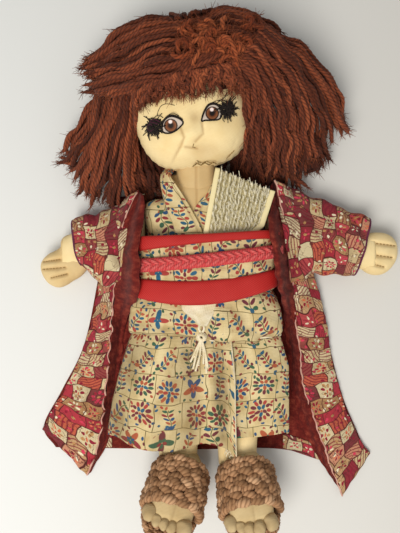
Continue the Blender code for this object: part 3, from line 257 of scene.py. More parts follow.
class Weave:
    """Gathers grids, cloth and tubes as whole arrays, and makes one mesh of them."""

    def __init__(self) -> None:
        """Starts empty."""
        self.points, self.uvs, self.tints = [], [], []
        self.faces: dict = {3: [], 4: []}
        self.count = self.uv_count = 0

    def put(self, points: Array, uv: Array, tint: Array) -> tuple[Array, Array]:
        """Adds points with their tints, and the UV places that faces name apart from them.

        Args:
            points: Points in mm.
            uv: UV places.
            tint: One number a point, or one for all.

        Returns:
            Numbers of the points and of the UV places, each in its own shape.
        """
        shape, uv_shape = points.shape[:-1], uv.shape[:-1]
        self.points.append(points.reshape(-1, 3))
        self.uvs.append(uv.reshape(-1, 2))
        self.tints.append(np.broadcast_to(np.asarray(tint, float), shape).reshape(-1))
        index = self.count + np.arange(math.prod(shape)).reshape(shape)
        uv_index = self.uv_count + np.arange(math.prod(uv_shape)).reshape(uv_shape)
        self.count += index.size
        self.uv_count += uv_index.size
        return index, uv_index

    def add_faces(self, corners: Array, uv_corners: Array, finish: int, back: bool = False) -> None:
        """Adds faces of three or four corners."""
        turn = slice(None, None, -1 if back else 1)
        self.faces[corners.shape[1]].append((corners[:, turn], uv_corners[:, turn], np.full(len(corners), finish)))

    def add_fans(self, rings: tuple, tips: tuple, finish: int, back: bool) -> None:
        """Closes ends with triangles."""
        fans = [joint(ring[:, :-1], ring[:, 1:], tip[:, None]).reshape(-1, 3) for ring, tip in zip(rings, tips)]
        self.add_faces(*fans, finish, back)

    def grid(self, points: Array, uv: Array | None = None, tint: Array = 0.0, finish: int = 0, wrap: bool = False,
            hoop: bool = False, caps: bool = False) -> None:
        """Adds a grid surface, with fans of triangles as end caps if asked.

        Args:
            points: Rows by columns by three, with no doubled seam.
            uv: Rows by columns by two, one more of each where that way is closed.
            tint: One number a point, or one for all.
            finish: Number of the material.
            wrap: Closes the columns into a ring.
            hoop: Closes the rows into a ring.
            caps: Closes the first and last row at their middles.
        """
        uv = arc_uv(closed(closed(points, 0, hoop), 1, wrap)) if uv is None else uv
        index, uv_index = self.put(points, uv, tint)
        index = closed(closed(index, 0, hoop), 1, wrap)
        self.add_faces(quads_of(index), quads_of(uv_index), finish)
        for row in (0, -1) if caps else ():
            tip = self.put(points[row].mean(axis=0)[None], uv[row].mean(axis=0)[None], np.ravel(tint)[-1])
            self.add_fans((index[row][None], uv_index[row][None]), tip, finish, row == 0)

    def cloth(self, points: Array, wall: float, tint: Array = 0.0, finish: int = 0, inside: int = 0,
            wrap: bool = False) -> None:
        """Adds a sheet with its wall: two copies of a grid moved out and in, joined at the edges.

        Args:
            points: Rows by columns by three, the middle of the sheet.
            wall: Thickness in mm.
            tint: One number a point, or one for all.
            finish: Number of the outside's material.
            inside: Number of the inside's material.
            wrap: Closes the columns into a tube.
        """
        half = (round_normals(points) if wrap else normals_of(points)) * wall / 2
        pair, uv_index = self.put(np.stack((points + half, points - half)), arc_uv(closed(points, 1, wrap)), tint)
        top, low = closed(pair, 2, wrap)
        self.add_faces(quads_of(top), quads_of(uv_index), finish, True)
        self.add_faces(quads_of(low), quads_of(uv_index), inside)
        rims = [(np.s_[0], True), (np.s_[-1], False)] + ([] if wrap else [(np.s_[:, 0], False), (np.s_[:, -1], True)])
        for rim, back in rims:
            ends = np.stack((top[rim], low[rim])), np.stack((uv_index[rim], uv_index[rim]))
            self.add_faces(quads_of(ends[0]), quads_of(ends[1]), finish, back)

    def tubes(self, paths: Array, radius: Array, sides: int = 8, lobes: int = 0, depth: float = 0.0,
            pitch: float = 12.0, tint: Array = 0.0, finish: int = 0, hoop: bool = False) -> None:
        """Adds a bundle of tubes, each along its own path, plied where it has lobes.

        A section's radius swells by a cosine of the angle times the lobes, and that
        cosine turns once for every pitch run along the path, as a plied yarn does.

        Args:
            paths: Tubes by points by three.
            radius: One number, or tubes by points.
            sides: Sides of a section.
            lobes: Plies that show in a section.
            depth: Depth of the grooves between plies, as a share of the radius.
            pitch: Distance in which a ply turns once.
            tint: One number a tube, or one for all.
            finish: Number of the material.
            hoop: Joins each tube's last point to its first.
        """
        paths = np.asarray(paths, float)
        paths = paths[None] if paths.ndim == 2 else paths
        tubes, n = paths.shape[:2]
        ahead = unit(np.roll(paths, -1, axis=1) - np.roll(paths, 1, axis=1) if hoop else np.gradient(paths, axis=1))
        side = unit(np.cross(ahead, SKYWARD))
        lift = np.cross(side, ahead)
        step = np.linalg.norm(np.diff(closed(paths, 1, hoop), axis=1), axis=-1)
        run = np.concatenate([np.zeros((tubes, 1)), np.cumsum(step, axis=1)], axis=1)
        angle = np.arange(sides + 1) * TURN / sides
        around = angle[:-1]
        swell = 1.0 + depth * np.cos(lobes * (around - TURN * run[:, :n, None] / pitch))
        reach = np.broadcast_to(np.asarray(radius, float), (tubes, n))[..., None] * swell
        out, up = (reach * np.cos(around))[..., None], (reach * np.sin(around))[..., None]
        uv = joint(run[..., None], angle / TURN)
        shade = np.broadcast_to(np.asarray(tint, float).reshape(-1, 1, 1), (tubes, n, sides))
        index, uv_index = self.put(paths[:, :, None] + side[:, :, None] * out + lift[:, :, None] * up, uv, shade)
        index = closed(closed(index, 1, hoop), 2)
        self.add_faces(quads_of(index), quads_of(uv_index), finish)
        for row in () if hoop else (0, -1):
            tips = self.put(paths[:, row], uv[:, row, 0], shade[:, row, 0])
            self.add_fans((index[:, row], uv_index[:, row]), tips, finish, row == 0)

    def sew(self, name: str, finishes: list, body: str, slot: str, *nodes: str) -> bpy.types.Object:
        """Makes a piece that rides on a body, takes its finishes and stands for its nodes.

        Args:
            name: The piece's name.
            finishes: Its materials in order.
            body: The body that carries it.
            slot: Name of the record's material slot; not used.
            nodes: Nodes that it stands for.

        Returns:
            The piece.
        """
        piece = self.make(name, finishes)
        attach(piece, body)
        if nodes:
            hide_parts(*nodes)
        return piece

    def make(self, name: str, finishes: list, mend: bool = True) -> bpy.types.Object:
        """Makes the mesh object at the origin, in metres.

        Args:
            name: The piece's name.
            finishes: Its materials in order.
            mend: Turns every face outwards.

        Returns:
            The object.
        """
        points = np.concatenate(self.points) * MM
        uvs = np.concatenate(self.uvs)
        faces = self.faces[4] + self.faces[3]
        corner, uv_corner = (np.concatenate([face[k].ravel() for face in faces]) for k in (0, 1))
        total = np.concatenate([np.full(len(face[0]), face[0].shape[1]) for face in faces])
        finish = np.concatenate([face[2] for face in faces])
        mesh = bpy.data.meshes.new(name)
        mesh.vertices.add(len(points))
        mesh.vertices.foreach_set("co", points.astype(np.float32).ravel())
        mesh.loops.add(len(corner))
        mesh.loops.foreach_set("vertex_index", corner.astype(np.int32))
        mesh.polygons.add(len(total))
        mesh.polygons.foreach_set("loop_start", (np.cumsum(total) - total).astype(np.int32))
        mesh.polygons.foreach_set("material_index", finish.astype(np.int32))
        layer = mesh.uv_layers.new(name="cloth")
        layer.data.foreach_set("uv", uvs[uv_corner].astype(np.float32).ravel())
        shade = mesh.attributes.new("tint", "FLOAT", "POINT")
        shade.data.foreach_set("value", np.concatenate(self.tints).astype(np.float32))
        mesh.update(calc_edges=True)
        if mend:
            work = bmesh.new()
            work.from_mesh(mesh)
            bmesh.ops.recalc_face_normals(work, faces=work.faces)
            work.to_mesh(mesh)
            work.free()
        mesh.shade_smooth()
        for material in finishes:
            mesh.materials.append(material)
        piece = bpy.data.objects.new(name, mesh)
        bpy.context.scene.collection.objects.link(piece)
        LOG.info("%s: %d faces", name, len(total))
        return piece


def linear(colour: str) -> tuple[float, float, float, float]:
    """Turns an sRGB hex colour to linear light by the standard curve.

    Args:
        colour: The colour as #rrggbb.

    Returns:
        Red, green and blue in linear light, and a one.
    """
    parts = [int(colour[i:i + 2], 16) / 255 for i in (1, 3, 5)]
    r, g, b = [c / 12.92 if c <= 0.04045 else ((c + 0.055) / 1.055) ** 2.4 for c in parts]
    return r, g, b, 1


@dataclass(frozen=True)
class Graph:
    """A material's node tree, and the one function that adds to it."""

    tree: bpy.types.NodeTree

    def add(self, kind: str, *values: object, out: int | str = 0, stops: tuple = (), **named: object) -> Socket:
        """Adds a node with its settings and links.

        Args:
            kind: The node's type without its first word, and its operation if it has one.
            values: Value, colour or other node's output for each input in order, or None.
            out: The output to give back.
            stops: Places and hex colours of a colour ramp.
            named: Inputs by name, with a capital and _ for a space, and the node's own properties.

        Returns:
            The asked output.
        """
        kind, _, operation = kind.partition(" ")
        node = self.tree.nodes.new("ShaderNode" + kind)
        if operation:
            node.operation = operation
        given = dict(enumerate(values))
        for key, value in named.items():
            if key[0].isupper():
                given[key.replace("_", " ")] = value
            else:
                setattr(node, key, value)
        for key, value in given.items():
            if isinstance(value, Socket):
                self.tree.links.new(value, node.inputs[key])
            elif value is not None:
                node.inputs[key].default_value = linear(value) if isinstance(value, str) else value
        for i, (place, colour) in enumerate(stops):
            marks = node.color_ramp.elements
            mark = marks[i] if i < 2 else marks.new(place)
            mark.position, mark.color = place, linear(colour)
        return node.outputs[out]

    def blend(self, share: object, under: object, over: object) -> Socket:
        """Lays one colour over another, with a Mix node that add makes."""
        return self.add("Mix", share, None, None, None, None, None, under, over, out=2, data_type="RGBA")

    def choose(self, chance: Socket, inks: tuple) -> Socket:
        """Picks one of several inks by chance, with a ramp in steps.

        Args:
            chance: A number from 0 to 1.
            inks: Hex colours.

        Returns:
            The picked colour.
        """
        ink = self.add("ValToRGB", chance, stops=tuple((i / len(inks), c) for i, c in enumerate(inks)))
        ink.node.color_ramp.interpolation = "CONSTANT"
        return ink


@dataclass(frozen=True)
class Finish:
    """A finish: the shader's own values, with a pattern that each kind draws."""

    name: str  # the material's name
    roughness: float = 0.92  # the shader's roughness
    sheen: float = 0.04  # soft light off standing fibres
    relief: float = 0.25  # height of the bump in mm
    specular: float = 0.25  # the shader's specular level

    def pattern(self, g: Graph) -> tuple:
        """Draws the pattern; each kind of finish has its own."""
        raise NotImplementedError

    def make(self) -> bpy.types.Material:
        """Makes the material.

        Returns:
            The material.
        """
        material = bpy.data.materials.new(self.name)
        material.use_nodes = True
        material.node_tree.nodes.clear()
        g = Graph(material.node_tree)
        colour, height = self.pattern(g)
        bump = g.add("Bump", Height=height, Strength=1.0, Distance=self.relief * MM)
        shader = g.add("BsdfPrincipled", Base_Color=colour, Normal=bump, Roughness=self.roughness,
            Sheen_Weight=self.sheen, Specular_IOR_Level=self.specular)
        end = g.tree.nodes.new("ShaderNodeOutputMaterial")
        g.tree.links.new(shader, end.inputs["Surface"])
        return material


@dataclass(frozen=True)
class Calico(Finish):
    """Unbleached plain-weave cotton, stuffed tight: a matt cream with a fine crossed thread.

    Its thread of 0.4 mm is too fine for the render, so it is drawn at 0.9 mm.
    """

    relief: float = 0.12
    pale: str = "#fbe5b0"  # colour of the cloth
    deep: str = "#f0d59b"  # colour of its duller patches
    fold: str = "#a47c4c"  # the darkest colour, where the tint attribute is one: painted shade in creases and seams
    thread: float = 0.9  # distance between threads in mm

    def pattern(self, g: Graph) -> tuple:
        """Two crossed waves for the weave, slow noise for the duller patches, and the tint attribute for painted
        shade in creases.
        """
        place = g.add("TexCoord", out="Object")
        mm = g.add("Mapping", place, Scale=(1000, 1000, 1000), Rotation=(0, 0, 0.17))
        wave = WAVE / self.thread
        warp = g.add("TexWave", mm, Scale=wave, Distortion=1.2, out="Fac")
        weft = g.add("TexWave", mm, Scale=wave, Distortion=1.2, out="Fac", bands_direction="Y")
        weave = g.add("Math MULTIPLY", warp, weft)
        cloud = g.add("TexNoise", mm, Scale=0.06, Detail=4.0, out="Fac")
        base = g.add("ValToRGB", cloud, stops=((0.38, self.pale), (0.72, self.deep)))
        faint = g.add("Math MULTIPLY", weave, 0.45)
        tint = g.add("Attribute", out="Fac", attribute_name="tint")
        return g.blend(tint, g.blend(faint, base, self.deep), self.fold), weave


@dataclass(frozen=True)
class Yarn(Finish):
    """Thick plied wool: each strand shows its plies as slanting ridges, with painted shade between them, under fuzz.
    """

    tones: tuple = ("#38170e", "#66321f", "#88452b", "#b0603b")  # hex colours from the darkest strand to the lightest
    groove: str = "#32150d"  # painted shade colour between plies
    plies: int = 3  # plies in the strand
    pitch: float = 12.0  # distance in which a ply turns once, in mm

    def pattern(self, g: Graph) -> tuple:
        """Cosine of the plies' turn about the strand for the grooves' painted shade, and stretched noise for the
        fibres.
        """
        run = g.add("SeparateXYZ", g.add("UVMap", uv_map="cloth"))
        tint = g.add("Attribute", out="Fac", attribute_name="tint")
        advance = g.add("Math MULTIPLY", run, 1.0 / self.pitch)
        phase = g.add("Math SUBTRACT", run.node.outputs[1], advance)
        angle = g.add("Math MULTIPLY", phase, TURN * self.plies)
        ridge = g.add("Math COSINE", angle)
        crest = g.add("MapRange", ridge, -1.65, 0.15)
        across = g.add("Math MULTIPLY", phase, 26.0)
        along = g.add("Math MULTIPLY", run, 0.5)
        salt = g.add("Math MULTIPLY", tint, 61.0)
        fibre = g.add("TexNoise", g.add("CombineXYZ", along, across, salt), Scale=1.0, Detail=4.0, Roughness=0.75,
            out="Fac")
        shift = g.add("Math MULTIPLY_ADD", fibre, 0.75, tint)
        tone = g.add("Math SUBTRACT", shift, 0.36)
        count = len(self.tones) - 1
        colour = g.add("ValToRGB", tone, stops=tuple((i / count, c) for i, c in enumerate(self.tones)))
        height = g.add("Math MULTIPLY_ADD", fibre, 0.9, crest)
        return g.blend(crest, self.groove, colour), height


@dataclass(frozen=True)
class Cotton(Finish):
    """Woven cotton: a plain weave that shows through its dye, worn duller in patches, with painted shade in folds."""

    ground: str = "#f0e5c9"  # colour of the cloth
    deep: str = "#dccca6"  # colour of its duller parts
    fold: str = "#9b8560"  # painted shade colour in folds
    thread: float = 1.1  # distance at which the 0.35 mm weave is drawn, coarser so that it shows, in mm
    fade: float = 0.4  # how much of the ground shows through the inks

    def weave(self, g: Graph, uv: Socket) -> Socket:
        """Two crossed waves.

        Args:
            g: The material's nodes.
            uv: Cloth coordinates in mm.

        Returns:
            The weave's height.
        """
        wave = WAVE / self.thread
        warp = g.add("TexWave", uv, Scale=wave, Distortion=0.6, out="Fac")
        weft = g.add("TexWave", uv, Scale=wave, Distortion=0.6, out="Fac", bands_direction="Y")
        return g.add("Math MULTIPLY", warp, weft)

    def drawn(self, g: Graph, uv: Socket) -> Socket:
        """The dye: slow noise between two tones. Printed kinds draw their own."""
        cloud = g.add("TexNoise", uv, Scale=0.12, Detail=4.0, out="Fac")
        return g.add("ValToRGB", cloud, stops=((0.38, self.ground), (0.64, self.deep)))

    def pattern(self, g: Graph) -> tuple:
        """Lets the weave and slow noise dull the dye, and the tint attribute blend in painted shade in folds."""
        uv = g.add("UVMap", uv_map="cloth")
        colour, weave = self.drawn(g, uv), self.weave(g, uv)
        slow = g.add("TexNoise", uv, Scale=0.09, Detail=3.0, out="Fac")
        dull = g.add("Math MULTIPLY", slow, weave)
        faded = g.add("Math MULTIPLY", dull, self.fade)
        tint = g.add("Attribute", out="Fac", attribute_name="tint")
        return g.blend(tint, g.blend(faded, colour, self.ground), self.fold), weave


@dataclass(frozen=True)
class Printed(Cotton):
    """Printed cotton: motifs in flat inks, one group in each cell of an uneven chequer of drawn lines."""

    line: str = "#5d522c"  # colour of the drawn lines
    # Colours of the motifs
    inks: tuple = ("#8c2c36", "#175f80", "#6b2739", "#194c7a", "#aa3f3a", "#33604a", "#b0573a", "#1f5876")
    cell: tuple = (20.5, 22)  # width and height of a cell in mm
    bend: float = 8.0  # how far the lines wander in mm

    def cells(self, g: Graph, uv: Socket) -> tuple:
        """Rows of rectangles, each row shifted by chance: the whole part of the place names the cell.

        Args:
            g: The material's nodes.
            uv: Cloth coordinates in mm.

        Returns:
            Place in the cell from its middle in mm, its three chances, and the distance to its edge in mm.
        """
        wide, tall = self.cell
        noise = g.add("TexNoise", uv, Scale=0.045, Detail=1.0, out="Color")
        bent = g.add("VectorMath MULTIPLY_ADD", noise, (self.bend, self.bend, 0), uv)
        share = g.add("SeparateXYZ", g.add("VectorMath MULTIPLY", bent, (1 / wide, 1 / tall, 0)))
        row = g.add("Math FLOOR", share.node.outputs[1])
        shift = g.add("TexWhiteNoise", None, row, noise_dimensions="1D")
        along = g.add("Math ADD", share, shift)
        column = g.add("Math FLOOR", along)
        chance = g.add("TexWhiteNoise", g.add("CombineXYZ", column, row), noise_dimensions="2D", out="Color")
        across = g.add("Math SUBTRACT", g.add("Math SUBTRACT", along, column), 0.5)
        up = g.add("Math SUBTRACT", g.add("Math SUBTRACT", share.node.outputs[1], row), 0.5)
        here = g.add("VectorMath MULTIPLY", g.add("CombineXYZ", across, up), (wide, tall, 0))
        rim = g.add("VectorMath SUBTRACT", (wide / 2, tall / 2, 1e3), g.add("VectorMath ABSOLUTE", here))
        parts = g.add("SeparateXYZ", rim)
        return here, g.add("SeparateColor", chance), g.add("Math MINIMUM", parts, parts.node.outputs[1])

    def leaf(self, g: Graph, across: object, along: object, wide: float, tall: float, under: object,
            ink: object) -> Socket:
        """Draws a leaf: ink where the place, in shares of its half width and half height, is nearer than one.

        Args:
            g: The material's nodes.
            across: Distance across from its middle in mm.
            along: Distance along from its middle in mm.
            wide: Half its width in mm.
            tall: Half its height in mm.
            under: Colour beneath.
            ink: Its colour.

        Returns:
            The colour with the leaf on it.
        """
        place = g.add("VectorMath MULTIPLY", g.add("CombineXYZ", across, along), (1 / wide, 1 / tall, 1))
        away = g.add("VectorMath LENGTH", place, out="Value")
        return g.blend(g.add("MapRange", away, 1.12, 0.92), under, ink)

    def wreath(self, g: Graph, here: Socket, chance: Socket, rings: tuple, under: Socket) -> Socket:
        """Draws rings of leaves round a middle: the angle is cut into equal parts, with one leaf in each.

        Args:
            g: The material's nodes.
            here: Place from the middle in mm.
            chance: The cell's chances.
            rings: Leaves, extra leaves by chance, radius, half width and half height in mm of each ring.
            under: Colour beneath.

        Returns:
            The colour with the wreath on it.
        """
        part = g.add("SeparateXYZ", here)
        angle = g.add("Math ARCTAN2", part, part.node.outputs[1])
        radius = g.add("VectorMath LENGTH", here, out="Value")
        for i, (count, more, ring_radius, wide, tall) in enumerate(rings):
            spare = g.add("Math MULTIPLY_ADD", chance.node.outputs[i % 3], float(more), float(count))
            leaves = g.add("Math FLOOR", spare)
            turn = g.add("Math MULTIPLY", angle, g.add("Math MULTIPLY", leaves, 1 / TURN))
            number = g.add("Math ROUND", turn)
            off = g.add("Math SUBTRACT", turn, number)
            arc = g.add("Math MULTIPLY", off, g.add("Math DIVIDE", TURN, leaves))
            across = g.add("Math MULTIPLY", arc, radius)
            along = g.add("Math SUBTRACT", radius, ring_radius)
            odd = g.add("Math MULTIPLY", g.add("Math FLOORED_MODULO", number, 2.0), 0.31)
            pick = g.add("Math FRACT", g.add("Math ADD", chance.node.outputs[(i + 1) % 3], odd))
            under = self.leaf(g, across, along, wide, tall, under, g.choose(pick, self.inks))
        return under

    def sprig(self, g: Graph, here: Socket, chance: Socket, reach: float, under: Socket) -> Socket:
        """Draws a sprig: a waved stem, slanted leaves in pairs at even steps along it, and a bud at its tip.

        Args:
            g: The material's nodes.
            here: Place from the middle in mm.
            chance: The cell's chances.
            reach: Half the sprig's length in mm.
            under: Colour beneath.

        Returns:
            The colour with the sprig on it.
        """
        turn = g.add("MapRange", chance.node.outputs[1], 0.0, 1.0, -0.9, 0.9)
        turned = g.add("VectorRotate", here, Angle=turn, rotation_type="Z_AXIS")
        part = g.add("SeparateXYZ", turned)
        up = part.node.outputs[1]
        wave = g.add("Math SINE", g.add("Math MULTIPLY", up, 0.4))
        side = g.add("Math SUBTRACT", part, wave)
        off = g.add("Math ABSOLUTE", side)
        long = g.add("Math LESS_THAN", g.add("Math ABSOLUTE", up), reach)
        stem = g.add("Math MULTIPLY", g.add("MapRange", off, 0.42, 0.24), long)
        drawn = g.blend(stem, under, "#4d5a35")
        step = reach / 2.2
        number = g.add("Math ROUND", g.add("Math MULTIPLY", up, 1 / step))
        local = g.add("Math SUBTRACT", up, g.add("Math MULTIPLY", number, step))
        away = g.add("Math SUBTRACT", off, step * 0.62)
        slant = g.add("SeparateXYZ", g.add("VectorRotate", g.add("CombineXYZ", away, local), Angle=0.62,
            rotation_type="Z_AXIS"))
        kind = g.add("Math FRACT", g.add("Math MULTIPLY_ADD", number, 0.37, chance))
        leafy = self.leaf(g, slant, slant.node.outputs[1], step * 0.56, step * 0.29, drawn, g.choose(kind, self.inks))
        drawn = g.blend(long, under, leafy)
        tip = g.add("Math SUBTRACT", up, reach + 0.6)
        return self.leaf(g, side, tip, 1.6, 2.1, drawn, g.choose(chance.node.outputs[2], self.inks))

    def speckle(self, g: Graph, uv: Socket, spacing: float, reach: float, share: float, inks: tuple,
            under: Socket) -> Socket:
        """Scatters small buds: ink where the nearest point of a loose net is nearer than a radius.

        Args:
            g: The material's nodes.
            uv: Cloth coordinates in mm.
            spacing: Mean distance between buds in mm.
            reach: A bud's radius in mm.
            share: Share of the places that hold one.
            inks: Their colours.
            under: Colour beneath.

        Returns:
            The colour with the buds on it.
        """
        cell = g.add("TexVoronoi", uv, Scale=1 / spacing, Randomness=0.8, out="Color", voronoi_dimensions="2D")
        away = g.add("VectorMath SUBTRACT", uv, cell.node.outputs["Position"])
        chance = g.add("SeparateColor", cell)
        turned = g.add("VectorRotate", away, Angle=g.add("Math MULTIPLY", chance, TURN), rotation_type="Z_AXIS")
        part = g.add("SeparateXYZ", turned)
        wanted = g.add("Math LESS_THAN", chance.node.outputs[2], share)
        bud = self.leaf(g, part, part.node.outputs[1], reach * 0.62, reach, under,
            g.choose(chance.node.outputs[1], inks))
        return g.blend(wanted, under, bud)

    def drawn(self, g: Graph, uv: Socket) -> Socket:
        """Kimono cloth: cream, with sprigs in some cells and wreaths or rosettes in the others."""
        here, chance, rim = self.cells(g, uv)
        cloud = g.add("TexNoise", uv, Scale=0.07, Detail=3.0, out="Fac")
        ground = g.add("ValToRGB", cloud, stops=((0.4, self.ground), (0.66, self.deep)))
        clear = g.add("MapRange", g.add("VectorMath LENGTH", here, out="Value"), 8.6, 8.0)
        ground = g.blend(clear, self.speckle(g, uv, 4.4, 1.5, 0.55, self.inks, ground), ground)
        away = g.add("VectorMath SUBTRACT", g.add("CombineXYZ", chance.node.outputs[1], chance.node.outputs[2]),
            (0.5, 0.5, 0))
        here = g.add("VectorMath MULTIPLY", g.add("VectorMath MULTIPLY_ADD", away, (4, 4, 0), here), (1, 1, 0))
        drawn = self.wreath(g, here, chance, ((9, 5, 6.6, 1.25, 2.1), (4, 4, 3, 1.3, 1.8), (1, 1, 0, 1.4, 1.4)),
            ground)
        for top, motif in ((0.76, self.sprig(g, here, chance, 8.2, ground)), (0.40,
                self.wreath(g, here, chance, ((4, 3, 4.8, 2.2, 3.8), (5, 2, 1.9, 1.1, 1.6)), ground)), (0.20,
                self.sprig(g, here, chance.node.outputs[2], 10.4, ground))):
            drawn = g.blend(g.add("Math LESS_THAN", chance, top), drawn, motif)
        return g.blend(g.add("MapRange", rim, 0.36, 0.16), drawn, self.line)


@dataclass(frozen=True)
class Patchwork(Printed):
    """Cotton printed as bright patchwork, some patches hatched, some with a flower: the haori's cloth."""

    ground: str = "#b3243f"
    deep: str = "#8e1f34"
    fold: str = "#4a1418"
    fade: float = 0.25
    line: str = "#512722"
    inks: tuple = ("#eadfc0", "#8e1f34", "#d1405a", "#b98d5c", "#a82c40", "#d2714f")
    patches: tuple = ("#9f2f3b", "#bd9a70", "#b34a4b", "#d5c49b", "#8d2f38", "#c58c6e", "#ad865c", "#b03843",
        "#d3c59e", "#924a43", "#ccb78b", "#bd5f45", "#783c3b")
    cell: tuple = (13, 11)
    bend: float = 17.0

    def drawn(self, g: Graph, uv: Socket) -> Socket:
        """Haori cloth: one patch colour a cell by chance, then hatching, flowers, buds and drawn edges."""
        here, chance, rim = self.cells(g, uv)
        base = g.choose(chance, self.patches)
        turn = g.add("Math MULTIPLY", chance.node.outputs[1], TURN)
        turned = g.add("VectorRotate", here, Angle=turn, rotation_type="Z_AXIS")
        wave = g.add("TexWave", turned, Scale=WAVE / 2.6, Distortion=0.5, out="Fac")
        some = g.add("Math LESS_THAN", chance.node.outputs[2], 0.45)
        stroke = g.add("Math MULTIPLY", g.add("MapRange", wave, 0.66, 0.78, 0.0, 0.8), some)
        hatched = g.blend(stroke, base, "#7d2030")
        flower = self.wreath(g, here, chance, ((6, 3, 3, 0.8, 1.3), (1, 1, 0, 1.2, 1.2)), hatched)
        blooms = g.add("Math GREATER_THAN", chance.node.outputs[2], 0.55)
        worked = g.blend(blooms, hatched, flower)
        buds = self.speckle(g, uv, 5.4, 1.5, 0.42, ("#eadfc0", "#8e1f34", "#b98d5c", "#d1405a"), worked)
        veins = g.add("TexNoise", uv, Scale=0.16, Detail=2.0, out="Fac")
        vein = g.add("Math ABSOLUTE", g.add("Math SUBTRACT", veins, 0.5))
        lined = g.blend(g.add("MapRange", vein, 0.014, 0.006, 0.0, 0.8), buds, self.line)
        return g.blend(g.add("MapRange", rim, 0.5, 0.22), lined, self.line)


@dataclass(frozen=True)
class WrongSide(Cotton):
    """The unprinted side of the haori's cloth: dark red where the inks soaked through in blotches."""

    ground: str = "#7d2823"
    deep: str = "#571613"
    fold: str = "#3a0e0e"

    def drawn(self, g: Graph, uv: Socket) -> Socket:
        """Noise in three tones."""
        blot = g.add("TexNoise", uv, Scale=0.13, Detail=4.0, Roughness=0.7, out="Fac")
        return g.add("ValToRGB", blot, stops=((0.34, "#4a110e"), (0.5, "#6b1d17"), (0.66, "#8e3c2c")))


@dataclass(frozen=True)
class RibbedRibbon(Finish):
    """Bright ribbon of fine slanting ribs crossed by a mesh, painted lighter where they catch the light along its
    round, and darkened by painted shade towards its edges.
    """

    rib: float = 1.1

    def pattern(self, g: Graph) -> tuple:
        """Two families of slanting waves, one each way, over the cloth coordinates: their mesh painted lighter as a
        highlight, and the tint attribute for painted shade.
        """
        uv = g.add("UVMap", uv_map="cloth")
        one, two = [g.add("TexWave", g.add("Mapping", uv, Rotation=(0, 0, math.radians(turn))), Scale=0.314
            / self.rib, Distortion=0.4, out="Fac") for turn in (52, -38)]
        mesh = g.add("Math MULTIPLY", one, two)
        lit = g.add("ValToRGB", mesh, stops=((0.05, "#ab1411"), (0.5, "#cf1f1b"), (0.9, "#de372e")))
        tint = g.add("Attribute", out="Fac", attribute_name="tint")
        # The tint attribute blends in painted shade.
        return g.blend(tint, lit, "#8c1416"), mesh


@dataclass(frozen=True)
class Thread(Finish):
    """Cotton thread or a thin cord: one dark or pale colour broken by its twist, with painted shade between the
    plies.
    """

    pale: str = "#2a211c"  # colour on the plies
    deep: str = "#0e0b0a"  # painted shade colour between them
    relief: float = 0.1

    def pattern(self, g: Graph) -> tuple:
        """A wave that slants across the run and the turn of the thread."""
        slant = g.add("Mapping", g.add("UVMap", uv_map="cloth"), Scale=(1, 1.4, 1), Rotation=(0, 0, 0.6))
        twist = g.add("TexWave", slant, Scale=WAVE / 1.4, out="Fac")
        tone = g.add("Math ADD", twist, g.add("Attribute", out="Fac", attribute_name="tint"))
        return g.add("ValToRGB", tone, stops=((0.1, self.deep), (0.9, self.pale))), twist


@dataclass(frozen=True)
class EyePaint(Finish):
    """Paint on calico: a brown iris with a dark pupil and rim, a pale painted highlight, and a white around it."""

    iris: float = 4.9  # radius of the iris in mm
    painted_glint: tuple = (-0.3, 2.7, 0)  # middle of the painted highlight in mm from the iris's middle

    def pattern(self, g: Graph) -> tuple:
        """Rings by the distance from the middle, broken by noise, with a painted highlight by a second distance."""
        uv = g.add("UVMap", uv_map="cloth")
        away = g.add("VectorMath LENGTH", uv, out="Value")
        streak = g.add("TexNoise", uv, Scale=0.9, Detail=3.0, out="Fac")
        blur = g.add("Math MULTIPLY_ADD", streak, 0.7, away)
        ring = g.add("Math MULTIPLY", blur, 0.5 / self.iris)
        colour = g.add("ValToRGB", ring, stops=((0, "#120d0b"), (0.20, "#1c120d"), (0.26, "#5d3219"),
            (0.42, "#8a5330"), (0.47, "#3a2114"), (0.52, "#2a1810"), (0.57, "#cfc0b2")))
        # A pale spot painted on the iris: a painted highlight.
        apart = g.add("VectorMath DISTANCE", uv, self.painted_glint, out="Value")
        glint_mask = g.add("MapRange", apart, 1.7, 1.0)
        return g.blend(glint_mask, colour, "#f7e6e0"), streak


@dataclass(frozen=True)
class FanPaper(Finish):
    """Pleated paper on cloth, frayed at its folds: dull between pleats and pale along the ridges, partly frayed fibre
    and partly painted highlight.
    """

    relief: float = 0.5

    def pattern(self, g: Graph) -> tuple:
        """Noise stretched along the pleats, mixed by the tint attribute, which is one on the ridges, towards a pale
        that is partly frayed fibre and partly painted highlight.
        """
        uv = g.add("UVMap", uv_map="cloth")
        fibre = g.add("TexNoise", g.add("Mapping", uv, Scale=(1.4, 0.5, 1)), Scale=1.0, Detail=5.0, Roughness=0.7,
            out="Fac")
        base = g.add("ValToRGB", fibre, stops=((0.36, "#968a62"), (0.5, "#c4b88c"), (0.66, "#ebe2c2")))
        tint = g.add("Attribute", out="Fac", attribute_name="tint")
        # Pale on the ridges: partly frayed fibre, partly painted highlight.
        worn = g.add("Math MULTIPLY", g.add("Math MULTIPLY", fibre, 1.5), tint)
        return g.blend(worn, base, "#fbf6e4"), fibre


@dataclass(frozen=True)
class Bamboo(Finish):
    """Smooth split bamboo: pale yellow with fine lines along it and a soft shine."""

    def pattern(self, g: Graph) -> tuple:
        """Noise stretched far along the strip."""
        uv = g.add("UVMap", uv_map="cloth")
        grain = g.add("TexNoise", g.add("Mapping", uv, Scale=(0.05, 9, 1)), Scale=1.0, Detail=3.0, out="Fac")
        return g.add("ValToRGB", grain, stops=((0.35, "#e3d39c"), (0.65, "#f3e6b6"))), grain


